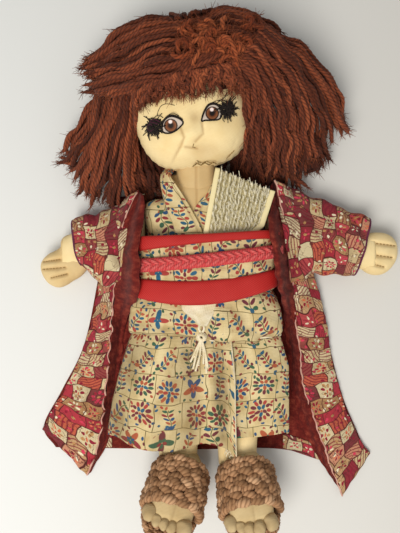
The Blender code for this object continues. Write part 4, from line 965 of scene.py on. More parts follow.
@dataclass(frozen=True)
class Backdrop(Finish):
    """The sheet that the doll lies on: a matt grey-white, a little darker to the right as painted shade of the
    light's falloff.
    """

    relief: float = 0.02

    def pattern(self, g: Graph) -> tuple:
        """A slow ramp across, painted shade towards the right, with very faint noise."""
        place = g.add("TexCoord", out="Object")
        ramp = g.add("MapRange", g.add("SeparateXYZ", place), -0.2, 0.2)
        colour = g.add("ValToRGB", ramp, stops=((0, "#e8ebeb"), (1, "#dad9d5")))
        return colour, g.add("TexNoise", place, Scale=60.0, out="Fac")


class Finishes:
    """The doll's materials, each made once."""

    def __init__(self) -> None:
        """Makes them all."""
        # Unbleached calico of the head, neck, hands and legs: cream, matt, faintly woven
        self.skin = Calico("Unbleached calico").make()
        # The feet's calico in a duller tan: partly its own toned colour, partly painted shade
        self.feet = Calico("Toned calico with painted shade", pale="#d6c194", deep="#c4ab7c", fold="#715637").make()
        # Thick plied wool in auburn: ridged, fuzzy, with painted shade between its plies and strands
        self.hair = Yarn("Plied wool yarn auburn").make()
        # The same wool spun loose and orange, in the curled clump on the crown
        self.curl = Yarn("Plied wool yarn russet", tones=("#5f2713", "#8e4323", "#b26038"), groove="#451c0e").make()
        # Crochet cotton in tan: round stitches, with painted shade in deep brown between them
        self.crochet = Yarn("Crochet cotton tan", tones=("#4a3021", "#96704f", "#b88c67", "#d8b08a"),
            groove="#6e4a2e", pitch=9.0).make()
        # Knitted cotton cord in rose pink: a row of V loops
        self.knit = Yarn("Knitted cotton rose", tones=("#bb383c", "#d64f50", "#ea827c"), groove="#a62f35",
            pitch=6.0).make()
        # Dress cotton printed in flat inks: matt, the weave dulls the inks a little
        self.kimono = Printed("Printed cotton garden", ground="#e2cf9f", deep="#c9b17d", fold="#5f4828",
            fade=0.25).make()
        # The same weight of cotton in bright patchwork inks
        self.haori = Patchwork("Printed cotton patchwork").make()
        # Its unprinted side: inks soaked through, darker and blotched
        self.lining = WrongSide("Printed cotton wrong side").make()
        # Undyed, blush and plum cotton of the ties, the piping and the cuffs' binding: matt and plain
        self.cream = Cotton("Plain cotton cream").make()
        self.piping = Cotton("Plain cotton blush", ground="#e2b7a6", deep="#c98d7c", fold="#8a4a40").make()
        self.plum = Cotton("Plain cotton plum", ground="#6d2f4b", deep="#54223a", fold="#2f121f").make()
        # Polyester ribbon with a raised mesh: brighter and smoother than the cotton
        self.ribbon = RibbedRibbon("Ribbed ribbon red", roughness=0.55, specular=0.4).make()
        # Sewing threads: black for the lashes, ecru for seams
        self.thread = Thread("Cotton thread black").make()
        self.stitch = Thread("Cotton thread ecru", pale="#ab8e5a", deep="#6f5632").make()
        # Fabric paint: a thin skin with a soft shine
        self.paint = EyePaint("Fabric paint", roughness=0.6, sheen=0.0, specular=0.2, relief=0.1).make()
        # Paper backed with gauze, frayed white along its folds, with painted highlight on the ridges
        self.paper = FanPaper("Pleated paper on gauze").make()
        # Split bamboo: smooth, with a faint shine
        self.bamboo = Bamboo("Split bamboo", roughness=0.4, sheen=0.0, specular=0.5, relief=0.08).make()
        self.sheet = Backdrop("Matt card grey white").make()


def ring(count: int, squareness: float = 2.0) -> tuple[Array, Array]:
    """Evenly spaced points round a superellipse, found by running length.

    Args:
        count: Number of points.
        squareness: 2 for an ellipse, more for a squarer shape.

    Returns:
        Both coordinates, from -1 to 1.
    """
    dense = np.linspace(0, TURN, 2001)
    c, s = squarish(dense, squareness)
    run = np.concatenate([[0], np.cumsum(np.hypot(np.diff(c), np.diff(s)))])
    angle = np.interp(np.arange(count) / count * run[-1], run, dense)
    return squarish(angle, squareness)


def loop(points: list, count: int) -> Array:
    """Smooth closed curve through points: a spline of the points laid round three times, its middle third kept.

    Args:
        points: Points in order.
        count: Number of points asked for.

    Returns:
        Points of the curve.
    """
    p = np.asarray(points, float)
    n = len(p)
    around = np.concatenate([p, p, p, p[:1]])
    return spline(around, (n + np.arange(count) * n / count) / (3 * n), 0)



@dataclass
class Head:
    """Stuffed calico head: squarer than round, with a pinched nose, pressed eye sockets and a sewn jaw."""

    finishes: Finishes
    centre: tuple = (-11, 125.5, 42)
    half_width: float = 45.6
    crown: float = 50.0
    jaw: float = 48.5
    front_height: float = 37.4
    back_height: float = 37.6
    squareness: float = 2.75
    rim_power: float = 2.5  # how flat the face is
    crown_power: float = 2.4  # how steep it falls at the seam
    tilt: float = math.radians(10.0)
    rows: int = 190
    columns: int = 260

    def local(self, x: Array, y: Array) -> tuple[Array, Array]:
        """Turns places in plan into the head's own directions, along the eyes and up the face.

        Args:
            x: Across in mm.
            y: Up in mm.

        Returns:
            Both own coordinates in mm.
        """
        dx, dy = x - self.centre[0], y - self.centre[1]
        c, s = math.cos(self.tilt), math.sin(self.tilt)
        return dx * c + dy * s, dy * c - dx * s

    def share(self, x: Array, y: Array) -> Array:
        """Distance from the middle as a share of the outline: the superellipse's own norm.

        Args:
            x: Across in mm.
            y: Up in mm.

        Returns:
            Shares, one on the outline.
        """
        u, v = self.local(x, y)
        reach = np.where(v > 0, self.crown, self.jaw)
        n = self.squareness
        return (np.abs(u / self.half_width) ** n + np.abs(v / reach) ** n) ** (1 / n)

    def relief(self, px: Array, py: Array) -> Array:
        """Height in mm that stuffing and stitches add: mounds for soft parts, less lines for creases.

        Args:
            px: Pixels across.
            py: Pixels down.

        Returns:
            Heights in mm.
        """
        left_fold = [(180, 126), (181.5, 132), (184, 138), (183, 142), (181, 145.5)]
        right_fold = [(202, 121.5), (203.4, 128), (203, 134), (199, 138.5), (195.5, 142)]
        cheek_fold = [(181, 145.5), (177.5, 152), (174.5, 158), (171, 165)]
        high = worked(px, py, ((3, (191.5, 136.5), (10.5, 9)), (0.9, (191, 124), (7.5, 10)),
            (2, (158, 151), (17, 14)), (2.2, (222, 137), (18, 13)), (1.4, (183, 160), (13, 10)),
            (1, (190, 98), (26, 9)), (-1.9, (172, 126), (12, 8)), (-1.9, (211, 113), (11, 8)),
            (-0.9, (194, 115), (6, 8)), (-1, (200, 149), (10, 5.5)), (-1, left_fold, 2), (-0.8, right_fold, 2),
            (-0.9, cheek_fold, 2.4), (-0.6, [(187, 147), (193, 148), (198, 147)], 1.5)))
        for place in ((196.5, 163.5), (206, 164.5), (214, 162), (229, 156)):
            high = high - 1.1 * mound(px, py, place, (3, 4.2))
        high = high - 0.8 * near_line(px, py, [(227, 158), (232, 150), (236, 141)], 1.5)
        return high + 0.10 * ripples(px, py, SEED, 16)

    def shade(self, px: Array, py: Array) -> Array:
        """Painted shade along folds and seams, from 0 to 1."""
        dark = worked(px, py, ((0.55, [(180, 126), (184, 138), (181, 145.5), (176, 155), (171.5, 164)], 1.3),
            (0.5, [(202, 121.5), (203.2, 134), (195.5, 142)], 1.2), (0.45, [(185, 147), (197, 148.5)], 1.3),
            (0.38, (195, 117), (5.5, 7)), (0.28, (203, 150), (13, 8)), (0.22, (216, 158), (22, 8)),
            (0.16, (228, 122), (9, 6)), (0.14, (156, 141), (9, 4))))
        return np.clip(dark, 0, 0.8)

    def surface(self, x: Array, y: Array) -> Array:
        """Height of the face in mm at places in plan: a superellipse's crown plus the relief.

        Args:
            x: Across in mm.
            y: Up in mm.

        Returns:
            Heights in mm; the middle height outside the outline.
        """
        away = np.clip(self.share(x, y), 0, 1)
        z = self.centre[2] + self.front_height * (1 - away ** self.rim_power) ** (1 / self.crown_power)
        px, py = pixel_of(joint(x, y, z))
        return z + self.relief(px, py) * np.clip((1 - away) * 6, 0, 1)

    def on_face(self, pixels: Array, over: float = 0.0) -> Array:
        """Places on the face under pixels of the photograph, found by four rounds of height and place.

        Args:
            pixels: Pixels, with a last axis of two.
            over: Height over the face in mm.

        Returns:
            Places in mm.
        """
        z = np.full(pixels.shape[:-1], 74.0)
        for _ in range(4):
            place = at_pixel(pixels[..., 0], pixels[..., 1], z)
            z = self.surface(place[..., 0], place[..., 1]) + over
        return at_pixel(pixels[..., 0], pixels[..., 1], z)

    def build(self) -> None:
        """Builds the head as a polar grid: from the face's middle out to the seam and back in behind."""
        c, s = ring(self.columns, self.squareness)
        a = np.linspace(0.0, math.pi, self.rows + 2)[1:-1]
        away = np.abs(np.sin(a)) ** (2 / self.rim_power)
        high = np.sign(np.cos(a)) * np.abs(np.cos(a)) ** (2 / self.crown_power)
        reach = np.where(s > 0, self.crown, self.jaw)
        u = away[:, None] * c * self.half_width
        v = away[:, None] * s * reach
        cosine, sine = math.cos(self.tilt), math.sin(self.tilt)
        x = self.centre[0] + u * cosine - v * sine
        y = self.centre[1] + u * sine + v * cosine
        lift = np.where(high > 0, self.front_height, self.back_height)
        z = self.centre[2] + (high * lift)[:, None] + 0 * x
        px, py = pixel_of(joint(x, y, z))
        front = np.clip((1 - away) * 6, 0, 1)[:, None] * (high > 0)[:, None]
        z = z + self.relief(px, py) * front
        pucker = 0.30 * np.sin(np.arange(self.columns) * TURN / self.columns
            * 46)[None] * np.exp(-((a - math.pi / 2) / 0.16) ** 2)[:, None]
        seam = -0.5 * np.exp(-((a - math.pi / 2) / 0.025) ** 2)[:, None]
        x = x + (pucker + seam) * (c * cosine - s * sine)
        y = y + (pucker + seam) * (c * sine + s * cosine)
        # Painted shade in the seam's groove round the head's edge, added to the face's painted shade in the tint.
        rim = 0.45 * np.exp(-((a - math.pi / 2) / 0.03) ** 2)[:, None]
        weave = Weave()
        weave.grid(joint(x, y, z), tint=np.clip(self.shade(px, py) * front + rim, 0, 0.8), wrap=True, caps=True)
        head = weave.sew("head_calico", [self.finishes.skin], "head", "calico_skin", "head")
        self.build_neck()
        self.build_stitches()

    def build_neck(self) -> None:
        """Builds the neck: superellipse sections between the shoulders and the jaw, with a seam down its middle."""
        rows, cols = 40, 96
        t = steps(rows)
        c, s = ring(cols, 2.3)
        y = 53.0 + 33.0 * t
        middle = -7.5 + 0.0 * t
        half = np.interp(t, [0, 0.3, 0.7, 1], [20.5, 17, 15.4, 15.5])
        low = np.interp(t, [0, 0.3, 1], [16, 13, 15])
        high = np.interp(t, [0, 0.3, 0.75, 1], [38.5, 43.5, 50, 52])
        x = middle[:, None] + half[:, None] * c
        z = (high + low)[:, None] / 2 + (high - low)[:, None] / 2 * s
        groove = np.exp(-((x + 7.0) / 0.7) ** 2) * (s > 0)
        z = z - 0.7 * groove + 0.35 * ripples(x, y[:, None] + 0 * x, SEED + 3, 12) * (s > 0)
        # Painted shade: the whole neck darker, more in the seam's groove and towards the head.
        shade = 0.5 + 0.3 * groove + 0.3 * np.clip((t - 0.66) * 3, 0, 1)[:, None]
        weave = Weave()
        weave.grid(joint(x, y[:, None], z), tint=shade, wrap=True, caps=True)
        neck = weave.make("neck_calico", [self.finishes.skin])
        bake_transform(neck)
        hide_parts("neck")

    def build_stitches(self) -> None:
        """Sews the face: an edge seam under the jaw with cross stitches, a brow of one thread and a nose stitch."""
        weave = Weave()
        rng = np.random.default_rng(SEED + 5)
        seam = np.array([(193, 166.5), (197, 163.5), (201, 165), (205, 163), (209, 164.6), (213, 162.6),
            (216, 163.4)])
        weave.tubes(self.on_face(spline(seam, steps(60)), 0.3), 0.55, 6)
        for px, py, length, slope in ((199, 162, 5, -0.5), (204, 162.5, 4, 0.4), (209, 162, 4.5, -0.3),
                (228, 157, 5, 0.9), (230.5, 154.5, 5, 0.9), (233, 152, 4, 0.9), (194, 147.4, 3.4, -0.25),
                (193.4, 145, 2.6, 1.3)):
            along = np.linspace(-0.5, 0.5, 8)
            line = joint(px + along * length * math.cos(slope), py - along * length * math.sin(slope))
            weave.tubes(self.on_face(line, 0.25), 0.32, 6, tint=rng.uniform(0.0, 0.4))
        weave.sew("face_stitches", [self.finishes.stitch], "head", "calico_skin")
        brow = Weave()
        line = np.array([(157, 116.5), (157.9, 112), (160.6, 106.6), (164.4, 104.2), (169, 104), (174.6, 105.4)])
        brow.tubes(self.on_face(spline(line, steps(40)), 0.2), 0.22, 6)
        hair = np.array([(192, 96), (197, 95.5), (203, 97.2), (208, 97)])
        brow.tubes(self.on_face(spline(hair, steps(30)), 0.2), 0.15, 6)
        brow.sew("brow_thread", [self.finishes.thread], "head", "black_thread")


@dataclass
class Eyes:
    """Painted eyes under thick tufts of black thread."""

    finishes: Finishes
    head: Head
    left_edge: tuple = ((183, 122.6), (179.5, 118.8), (172, 116.4), (166, 118.6), (162.4, 124.5), (162.6, 131.6),
        (168, 133.4), (174.5, 131.4), (180.2, 126.8))
    right_edge: tuple = ((201.6, 120.6), (204.2, 112), (208.5, 105.6), (214.5, 104.2), (219.6, 107.5), (221.8, 114.4),
        (219, 119.2), (212, 120.2), (205.4, 120.4))

    def patch(self, edge: tuple, middle: tuple, name: str, node: str) -> None:
        """Builds one painted eye: a polar grid from the iris's middle to the almond's edge, slightly domed.

        Args:
            edge: Pixels of its edge.
            middle: Pixel of the iris's middle.
            name: The piece's name.
            node: The node that it stands for.
        """
        outline = loop(edge, 96)
        t = np.linspace(0.02, 1, 26)[:, None, None]
        pixels = np.asarray(middle) * (1 - t) + outline[None] * t
        dome = 0.75 * (1 - t[..., 0] ** 2)
        places = self.head.on_face(pixels, 0.0)
        places[..., 2] += 0.35 + dome
        scale = GROUND_SCALE * (1 - 76 / CAMERA_HEIGHT)
        flat = (pixels - np.asarray(middle)) * np.array([scale, -scale])
        flat = np.concatenate([flat, flat[:, :1]], axis=1)
        under = places.copy()
        under[..., 2] = self.head.on_face(pixels, -0.4)[..., 2]
        weave = Weave()
        rows = np.concatenate([places, under[::-1]])
        weave.grid(rows, uv=np.concatenate([flat, flat[::-1]]), wrap=True, caps=True)
        weave.sew(name, [self.finishes.paint], "head", "eye_paint", node)

    def tuft(self, weave: Weave, middle: tuple, size: tuple, count: int, lean: float, seed: int) -> None:
        """Adds a tuft of threads: short curved loops that start near a line and fan outwards.

        Args:
            weave: Gathers the threads.
            middle: Pixel of the tuft's middle.
            size: Half its width and height in pixels.
            count: Number of threads.
            lean: Direction of the threads' fan, in radians.
            seed: Seed of the threads' places.
        """
        rng = np.random.default_rng(seed)
        round_about = rng.uniform(0, TURN, count)
        away = rng.uniform(0, 1, count) ** 0.6 * (1 + 0.22 * np.sin(round_about * 5 + 1) + 0.15
            * np.sin(round_about * 9))
        start = joint(np.cos(round_about), -np.sin(round_about)) * away[:, None] * np.asarray(size) * 0.72
        start = start + np.asarray(middle)
        angle = np.where(rng.uniform(0, 1, count) < 0.55, lean + rng.normal(0, 0.7, count), round_about
            + rng.normal(0, 0.8, count))
        length = rng.uniform(2.4, 7.4, count) * (1.15 - 0.5 * away)
        length = np.where(rng.uniform(0, 1, count) < 0.16, length + 5.0, length)
        bend = rng.normal(0, 0.7, count)
        t = steps(12)
        turn = angle[:, None] + bend[:, None] * t
        step = length[:, None] / 11
        px = start[:, :1] + np.cumsum(np.cos(turn) * step, axis=1)
        py = start[:, 1:] - np.cumsum(np.sin(turn) * step, axis=1)
        high = 0.4 + rng.uniform(0.4, 2.6, (count, 1)) * np.sin(math.pi * (0.12 + 0.8 * t))
        paths = self.head.on_face(joint(px, py), 0.0)
        paths[..., 2] += high
        weave.tubes(paths, rng.uniform(0.26, 0.46, (count, 1)) + 0 * t, 6, tint=rng.uniform(0, 0.5, count))

    def build(self) -> None:
        """Paints both eyes, outlines them in thread and sews the lash tufts."""
        self.patch(self.left_edge, (170.8, 125.8), "eye_paint_right", "eye_right")
        self.patch(self.right_edge, (212.2, 113.6), "eye_paint_left", "eye_left")
        sides = (("lash_thread_right", "lash_right", self.left_edge, (154.4, 127.5), (6.4, 8.8), 3.4, 150),
            ("lash_thread_left", "lash_left", self.right_edge, (226.6, 110.5), (6, 9.2), 0.9, 150))
        for name, node, edge, middle, size, lean, count in sides:
            weave = Weave()
            outline = self.head.on_face(loop(edge, 110), 0.75)
            weave.tubes(outline, 0.6, 8, hoop=True)
            upper = loop(edge, 110)
            upper = upper[4:62] + np.array([0, -1.2]) if node == "lash_right" else upper[4:56] + np.array([0, -1])
            weave.tubes(self.head.on_face(upper, 1.0), 0.5, 8)
            self.tuft(weave, middle, size, count, lean, SEED + 11 + count)
            strays = self.strays(node)
            for stray in strays:
                line = spline(np.asarray(stray, float), steps(24))
                path = self.head.on_face(line, 0.5)
                path[:, 2] += 1.6 * np.sin(np.linspace(0, math.pi, 24))
                weave.tubes(path, 0.24, 6, tint=0.3)
            weave.sew(name, [self.finishes.thread], "head", "black_thread", node)
        loops = Weave()
        for stray in (((158, 124), (152, 122.6), (147.6, 127), (150, 131), (154, 129)), ((160, 122), (154, 119.4),
                (150, 122.6), (152.6, 126))):
            path = self.head.on_face(spline(np.asarray(stray, float), steps(40)), 2.4)
            loops.tubes(path, 0.5, 8, tint=0.75, lobes=2, depth=0.15, pitch=3)
        loops.sew("lash_loop_plum", [self.finishes.plum], "head", "black_thread")

    def strays(self, node: str) -> tuple:
        """Long loose threads of a lash.

        Args:
            node: The lash's node.

        Returns:
            Pixels of each thread's line.
        """
        if node == "lash_right":
            return (((160, 120), (154, 119.5), (147.5, 119.3)), ((152, 131), (149.5, 134), (148.3, 138)),
                ((163, 117.8), (158, 116), (152.5, 119)), ((158, 134), (157, 137), (158, 139.5)), ((167, 116),
                (173, 113.8), (179, 116)))
        return (((216, 103.5), (223, 99), (229.8, 93.6)), ((218, 102.5), (224, 98.5), (226.6, 92.8)), ((212.5, 102.5),
            (219, 101), (228, 101.6)), ((228, 104), (231, 104.8), (234, 106.4)), ((226, 117), (227.6, 120),
            (228, 123)), ((223, 117), (222.6, 120), (224.4, 122)))


@dataclass(frozen=True)
class Lock:
    """A sewn bunch of yarn: strands run between guide lines."""

    name: str  # the lock's name
    guides: tuple  # guide lines, each of points as pixel across, pixel down and height
    strands: int  # strands in a layer
    layers: int = 2  # layers, each lower than the one before
    drop: float = 3.0  # distance between layers in mm
    tint: tuple = (0.12, 0.78)  # lowest and highest tone of a strand
    stray: float = 1.3  # distance that strands wander in mm
    frayed: bool = True  # whether the ends are cut and fluffy
    real: bool = False  # whether the guides are in mm and not in pixels


class HairPart(Enum):
    """The sewn parts of the hair, named by what of the doll each covers."""

    CROWN = "hair_crown"
    FRINGE = "hair_fringe"
    BACK = "hair_back"
    SIDE_LEFT = "hair_side_left"
    SIDE_RIGHT = "hair_side_right"


@dataclass
class Hair:
    """Thick auburn yarn: a blunt fringe, bunches at both sides, a humped crown and a curled clump on it."""

    finishes: Finishes
    head: Head
    radius: float = 1.55
    sides: int = 7
    step: float = 1.75
    locks: dict = field(default_factory=lambda: {HairPart.CROWN: (Lock("hump", (((200, 16, 30), (218, 8, 34),
        (245, 13, 36), (268, 25, 36), (285, 41, 32)), ((200, 16, 46), (218, 9, 52), (246, 15, 54), (268, 28, 52),
        (286, 46, 46)), ((203, 22, 60), (222, 14, 66), (246, 20, 68), (268, 34, 64), (288, 54, 56)),
        ((206, 31, 74), (224, 25, 78), (246, 30, 78), (266, 43, 74), (284, 64, 66)),
        ((210, 40, 84), (226, 35, 87), (243, 40, 86), (258, 52, 82), (272, 72, 74))), 24, 2),
        Lock("upper_left", (((206, 17, 34), (180, 19, 36), (150, 22, 36), (119, 38, 32), (92, 58, 24)),
        ((207, 16, 46), (180, 18, 48), (150, 20, 50), (118, 34, 48), (89, 56, 40)),
        ((212, 22, 62), (185, 27, 66), (150, 33, 66), (118, 48, 58), (88, 66, 46)),
        ((218, 32, 78), (190, 40, 80), (155, 48, 76), (120, 62, 66), (88, 76, 52)),
        ((222, 44, 86), (195, 54, 89), (162, 64, 85), (128, 76, 72), (90, 86, 56)),
        ((224, 54, 91), (200, 66, 93), (172, 77, 89), (138, 87, 76), (96, 95, 58))), 32, 3),
        Lock("crown_right", (((236, 60, 90), (240, 66, 88), (247, 80, 84), (252, 96, 78), (255, 112, 70)),
        ((240, 50, 90), (252, 58, 88), (264, 76, 82), (272, 96, 74), (276, 116, 64)),
        ((246, 40, 86), (264, 50, 84), (284, 70, 74), (298, 94, 62), (304, 120, 50))), 14, 1), ),
        HairPart.FRINGE: (Lock("fringe", (((146, 84, 80), (141, 91, 79), (138, 98, 76), (136.5, 103, 72),
        (135.5, 107, 69)), ((160, 79, 87), (156, 86, 86), (153, 92, 84), (151, 97, 82), (149.5, 101, 80)),
        ((176, 75, 91), (174, 81, 90), (172.5, 86, 88), (171.5, 90, 86), (171, 94, 84)),
        ((192, 71, 93), (191, 77, 92), (190, 82, 90), (189.5, 86, 88), (189, 91, 86)),
        ((208, 67, 93), (208, 74, 92), (208, 79, 90), (208, 84, 88), (208, 88.5, 86)),
        ((224, 63, 92), (226, 71, 91), (227.5, 77, 89), (229, 82, 87), (230, 88, 84)),
        ((236, 60, 90), (240, 70, 88), (242, 77, 86), (243.5, 84, 83), (244, 92, 80))), 42, 2, 2.4, (0.3, 0.95), 0.9),
        ),
        HairPart.SIDE_RIGHT: (Lock("left_bunch", (((100, 84, 36), (88, 105, 30), (76, 128, 24), (67, 143, 17),
        (61, 151, 12)), ((110, 84, 46), (97, 115, 44), (84, 142, 36), (72, 160, 26), (64, 169, 17)),
        ((120, 86, 52), (108, 125, 49), (97, 155, 41), (90, 178, 29), (84, 192, 18)),
        ((130, 88, 58), (120, 125, 53), (113, 160, 42), (109, 188, 28), (105, 205, 17)),
        ((138, 90, 62), (131, 125, 52), (129, 160, 40), (130, 190, 27), (134, 212, 16)),
        ((143, 96, 46), (137, 130, 38), (138, 165, 30), (145, 195, 22), (154, 219, 15))), 31, 3, 3.6),
        # inner_left's strands take only the darkest tones: painted shade on the lower strands behind the neck
        Lock("inner_left", (((136, 130, 26), (134, 150, 28), (133, 168, 28), (134, 184, 27), (136, 198, 26)),
        ((146, 134, 22), (150, 154, 22), (154, 170, 24), (157, 182, 26), (160, 192, 28)),
        ((154, 140, 16), (160, 160, 16), (166, 172, 18), (170, 180, 22), (170, 186, 25))), 16, 2, 3.4, (0, 0.3)), ),
        HairPart.SIDE_LEFT: (Lock("right_bunch", (((238, 54, 88), (244, 80, 82), (247, 105, 72), (248, 130, 62),
        (247, 149, 54)), ((245, 46, 88), (256, 76, 81), (262, 108, 71), (265, 136, 60), (264, 160, 49)),
        ((250, 39, 85), (272, 69, 78), (284, 105, 66), (288, 144, 50), (287, 180, 32)),
        ((256, 33, 80), (286, 60, 73), (306, 94, 60), (316, 130, 44), (317, 160, 26)),
        ((262, 28, 72), (297, 52, 64), (323, 82, 52), (336, 110, 38), (341, 134, 20)),
        ((268, 26, 54), (300, 45, 48), (325, 69, 41), (339, 93, 31), (344, 112, 17))), 36, 3, 3.6),
        # inner_right and lower_right take only the darker tones: painted shade on the lower strands by the neck
        Lock("inner_right", (((236, 138, 20), (235, 150, 20), (235, 160, 19), (236, 169, 18), (238, 177, 16)),
        ((244, 134, 26), (243, 150, 25), (242, 162, 22), (243, 173, 19), (245, 182, 16)),
        ((252, 130, 34), (251, 150, 31), (250, 166, 26), (251, 178, 21), (254, 188, 16))), 12, 2, 3.4, (0, 0.3)),
        Lock("lower_right", (((300, 110, 40), (312, 126, 34), (320, 138, 27), (326, 148, 20), (330, 157, 14)),
        ((284, 120, 42), (296, 140, 36), (303, 155, 29), (306, 168, 21), (307, 178, 15)),
        ((266, 120, 44), (276, 144, 38), (282, 162, 31), (285, 178, 23), (287, 191, 16)),
        ((250, 120, 42), (256, 146, 36), (258, 166, 31), (260, 180, 26), (262, 192, 22)),
        ((240, 124, 30), (244, 146, 26), (246, 162, 23), (248, 174, 20), (251, 186, 17))), 28, 2, 3.4, (0, 0.45)), ),
        HairPart.BACK: (Lock("nape", (((-52, 150, 16), (-53, 138, 6), (-52, 122, 4), (-50, 104, 4), (-48, 86, 5)),
        ((-30, 176, 16), (-30, 160, 4), (-29, 136, 2.6), (-28, 110, 2.6), (-28, 84, 4)),
        ((-8, 184, 16), (-8, 166, 4), (-8, 138, 2.6), (-8, 110, 2.6), (-8, 83, 4)),
        ((14, 180, 16), (14, 162, 4), (14, 136, 2.6), (13, 110, 2.6), (12, 84, 4)),
        ((33, 160, 16), (34, 146, 6), (34, 126, 4), (33, 106, 4), (32, 86, 5))), 26, 1, 3.0, (0.05, 0.6), 1.0, True,
        True),
        Lock("back_crown", (((-50, 150, 60), (-58, 152, 44), (-60, 152, 28), (-56, 150, 14), (-50, 146, 6)),
        ((-32, 180, 60), (-38, 188, 44), (-38, 188, 28), (-34, 182, 14), (-30, 172, 6)),
        ((-8, 192, 60), (-8, 199, 44), (-8, 198, 28), (-8, 190, 14), (-8, 178, 6)),
        ((18, 188, 60), (24, 193, 44), (24, 192, 28), (20, 184, 14), (16, 172, 6)),
        ((40, 160, 60), (46, 162, 44), (46, 160, 28), (40, 156, 14), (34, 150, 6))), 38, 1, 3.0, (0.05, 0.65), 1.0,
        False, True), ), })

    def strands_of(self, lock: Lock, seed: int) -> Array:
        """Lines of a lock's strands: a spline across its guides, each strand moved and cut a little by chance.

        Args:
            lock: The lock.
            seed: Seed of the chances.

        Returns:
            Strands by points by three.
        """
        rng = np.random.default_rng(seed)
        net = np.asarray(lock.guides, float) if lock.real else placed(lock.guides)
        every = []
        for layer in range(lock.layers):
            across = (np.arange(lock.strands) + 0.5 + rng.uniform(-0.3, 0.3, lock.strands)) / lock.strands
            lines = spline(net, across, 0)
            count = lines.shape[1]
            down = normals_of(net)
            fall = spline(down, across, 0)
            toward = np.where(fall[..., 2:].mean() > 0, -1.0, 1.0) if not lock.real else 0.0
            lines = lines + fall * toward * lock.drop * layer
            wander = rng.normal(0, lock.stray * 1.3, lines.shape) * np.linspace(0.4, 1.3, count)[:, None]
            clump = np.round(across * lock.strands / 5.0)[:, None] / lock.strands * 5.0
            drawn = spline(net, np.clip(clump[:, 0], 0, 1), 0) - spline(net, across, 0)
            lines = lines + wander * np.array([1, 1, 0.6]) + 0.32 * drawn * steps(count)[:, None]
            short = rng.uniform(0, 1, lock.strands) < (0.30 if layer == 0 and lock.frayed else 0.0)
            reach = np.where(short, rng.uniform(0.55, 0.9, lock.strands), rng.uniform(0.9, 1.03, lock.strands))
            rest = steps(count)[None] * reach[:, None] * (count - 1)
            i = np.minimum(rest.astype(int), count - 2)
            k, f = np.arange(lock.strands)[:, None], (rest - i)[..., None]
            lines = lines[k, i] * (1 - f) + lines[k, i + 1] * f
            lines[..., 2] += (short * rng.uniform(0.6, 2.2, lock.strands))[:, None] * steps(count)
            every.append(lines)
        lines = np.concatenate(every)
        reach = np.linalg.norm(np.diff(lines, axis=1), axis=-1).sum(axis=1).mean()
        paths = spline(lines, steps(max(int(reach / self.step), 12)), 1)
        start = rng.uniform(0, TURN, (len(paths), 1))
        sway = start + np.linspace(0, TURN, paths.shape[1]) * rng.uniform(1.2, 3.0, (len(paths), 1))
        x, y, z = np.moveaxis(paths, -1, 0).copy()
        paths[..., 0] += 0.6 * np.sin(sway) + 1.3 * ripples(x + z, y, seed + 3, 30)
        paths[..., 1] += 1.1 * ripples(x, y + z, seed + 4, 26)
        paths[..., 2] += 0.5 * np.cos(sway * 1.3) + 0.9 * ripples(x, y, seed + 5, 17)
        inside = self.head.share(paths[..., 0], paths[..., 1])
        skin = self.head.surface(paths[..., 0], paths[..., 1]) + self.radius + 0.3
        over = (inside < 1.0) & (paths[..., 2] > self.head.centre[2])
        paths[..., 2] = np.where(over, np.maximum(paths[..., 2], skin), paths[..., 2])
        paths[..., 2] = np.clip(paths[..., 2], 2.0, 99.0)
        return paths

    def fluff(self, weave: Weave, paths: Array, tints: Array, seed: int) -> None:
        """Frays yarn: fine fibres fan out from each strand's end, and a few stand off along it.

        Args:
            weave: Gathers the fibres.
            paths: The strands.
            tints: Their tones.
            seed: Seed of the fan.
        """
        rng = np.random.default_rng(seed)
        n = paths.shape[1]
        for count, spread, reach, lift in ((11, 0.5, 5.4, 0), (7, 1, 3.6, 0.5)):
            which = np.repeat(np.arange(len(paths)), count)
            at = np.full(len(which), n - 1) if not lift else rng.integers(3, n - 1, len(which))
            end = paths[which, at]
            ahead = end - paths[which, at - 3]
            ahead = ahead / np.linalg.norm(ahead, axis=1, keepdims=True)
            fan = rng.normal(0, spread, (len(end), 3)) + np.array([0, 0, lift])
            t = np.linspace(-0.25, 1, 3)[None, :, None]
            length = rng.uniform(0.45, 1.0, (len(end), 1, 1)) * reach
            lines = end[:, None] + ahead[:, None] * length * t + fan[:, None] * length * np.clip(t, 0, 1) ** 1.5
            lines[..., 2] = np.clip(lines[..., 2], 1.0, 99.5)
            tone = np.clip(tints[which] + 0.3, 0, 1)
            weave.tubes(lines, 0.36 * np.linspace(1, 0.3, 3)[None] + 0 * lines[..., 0], 3, tint=tone)

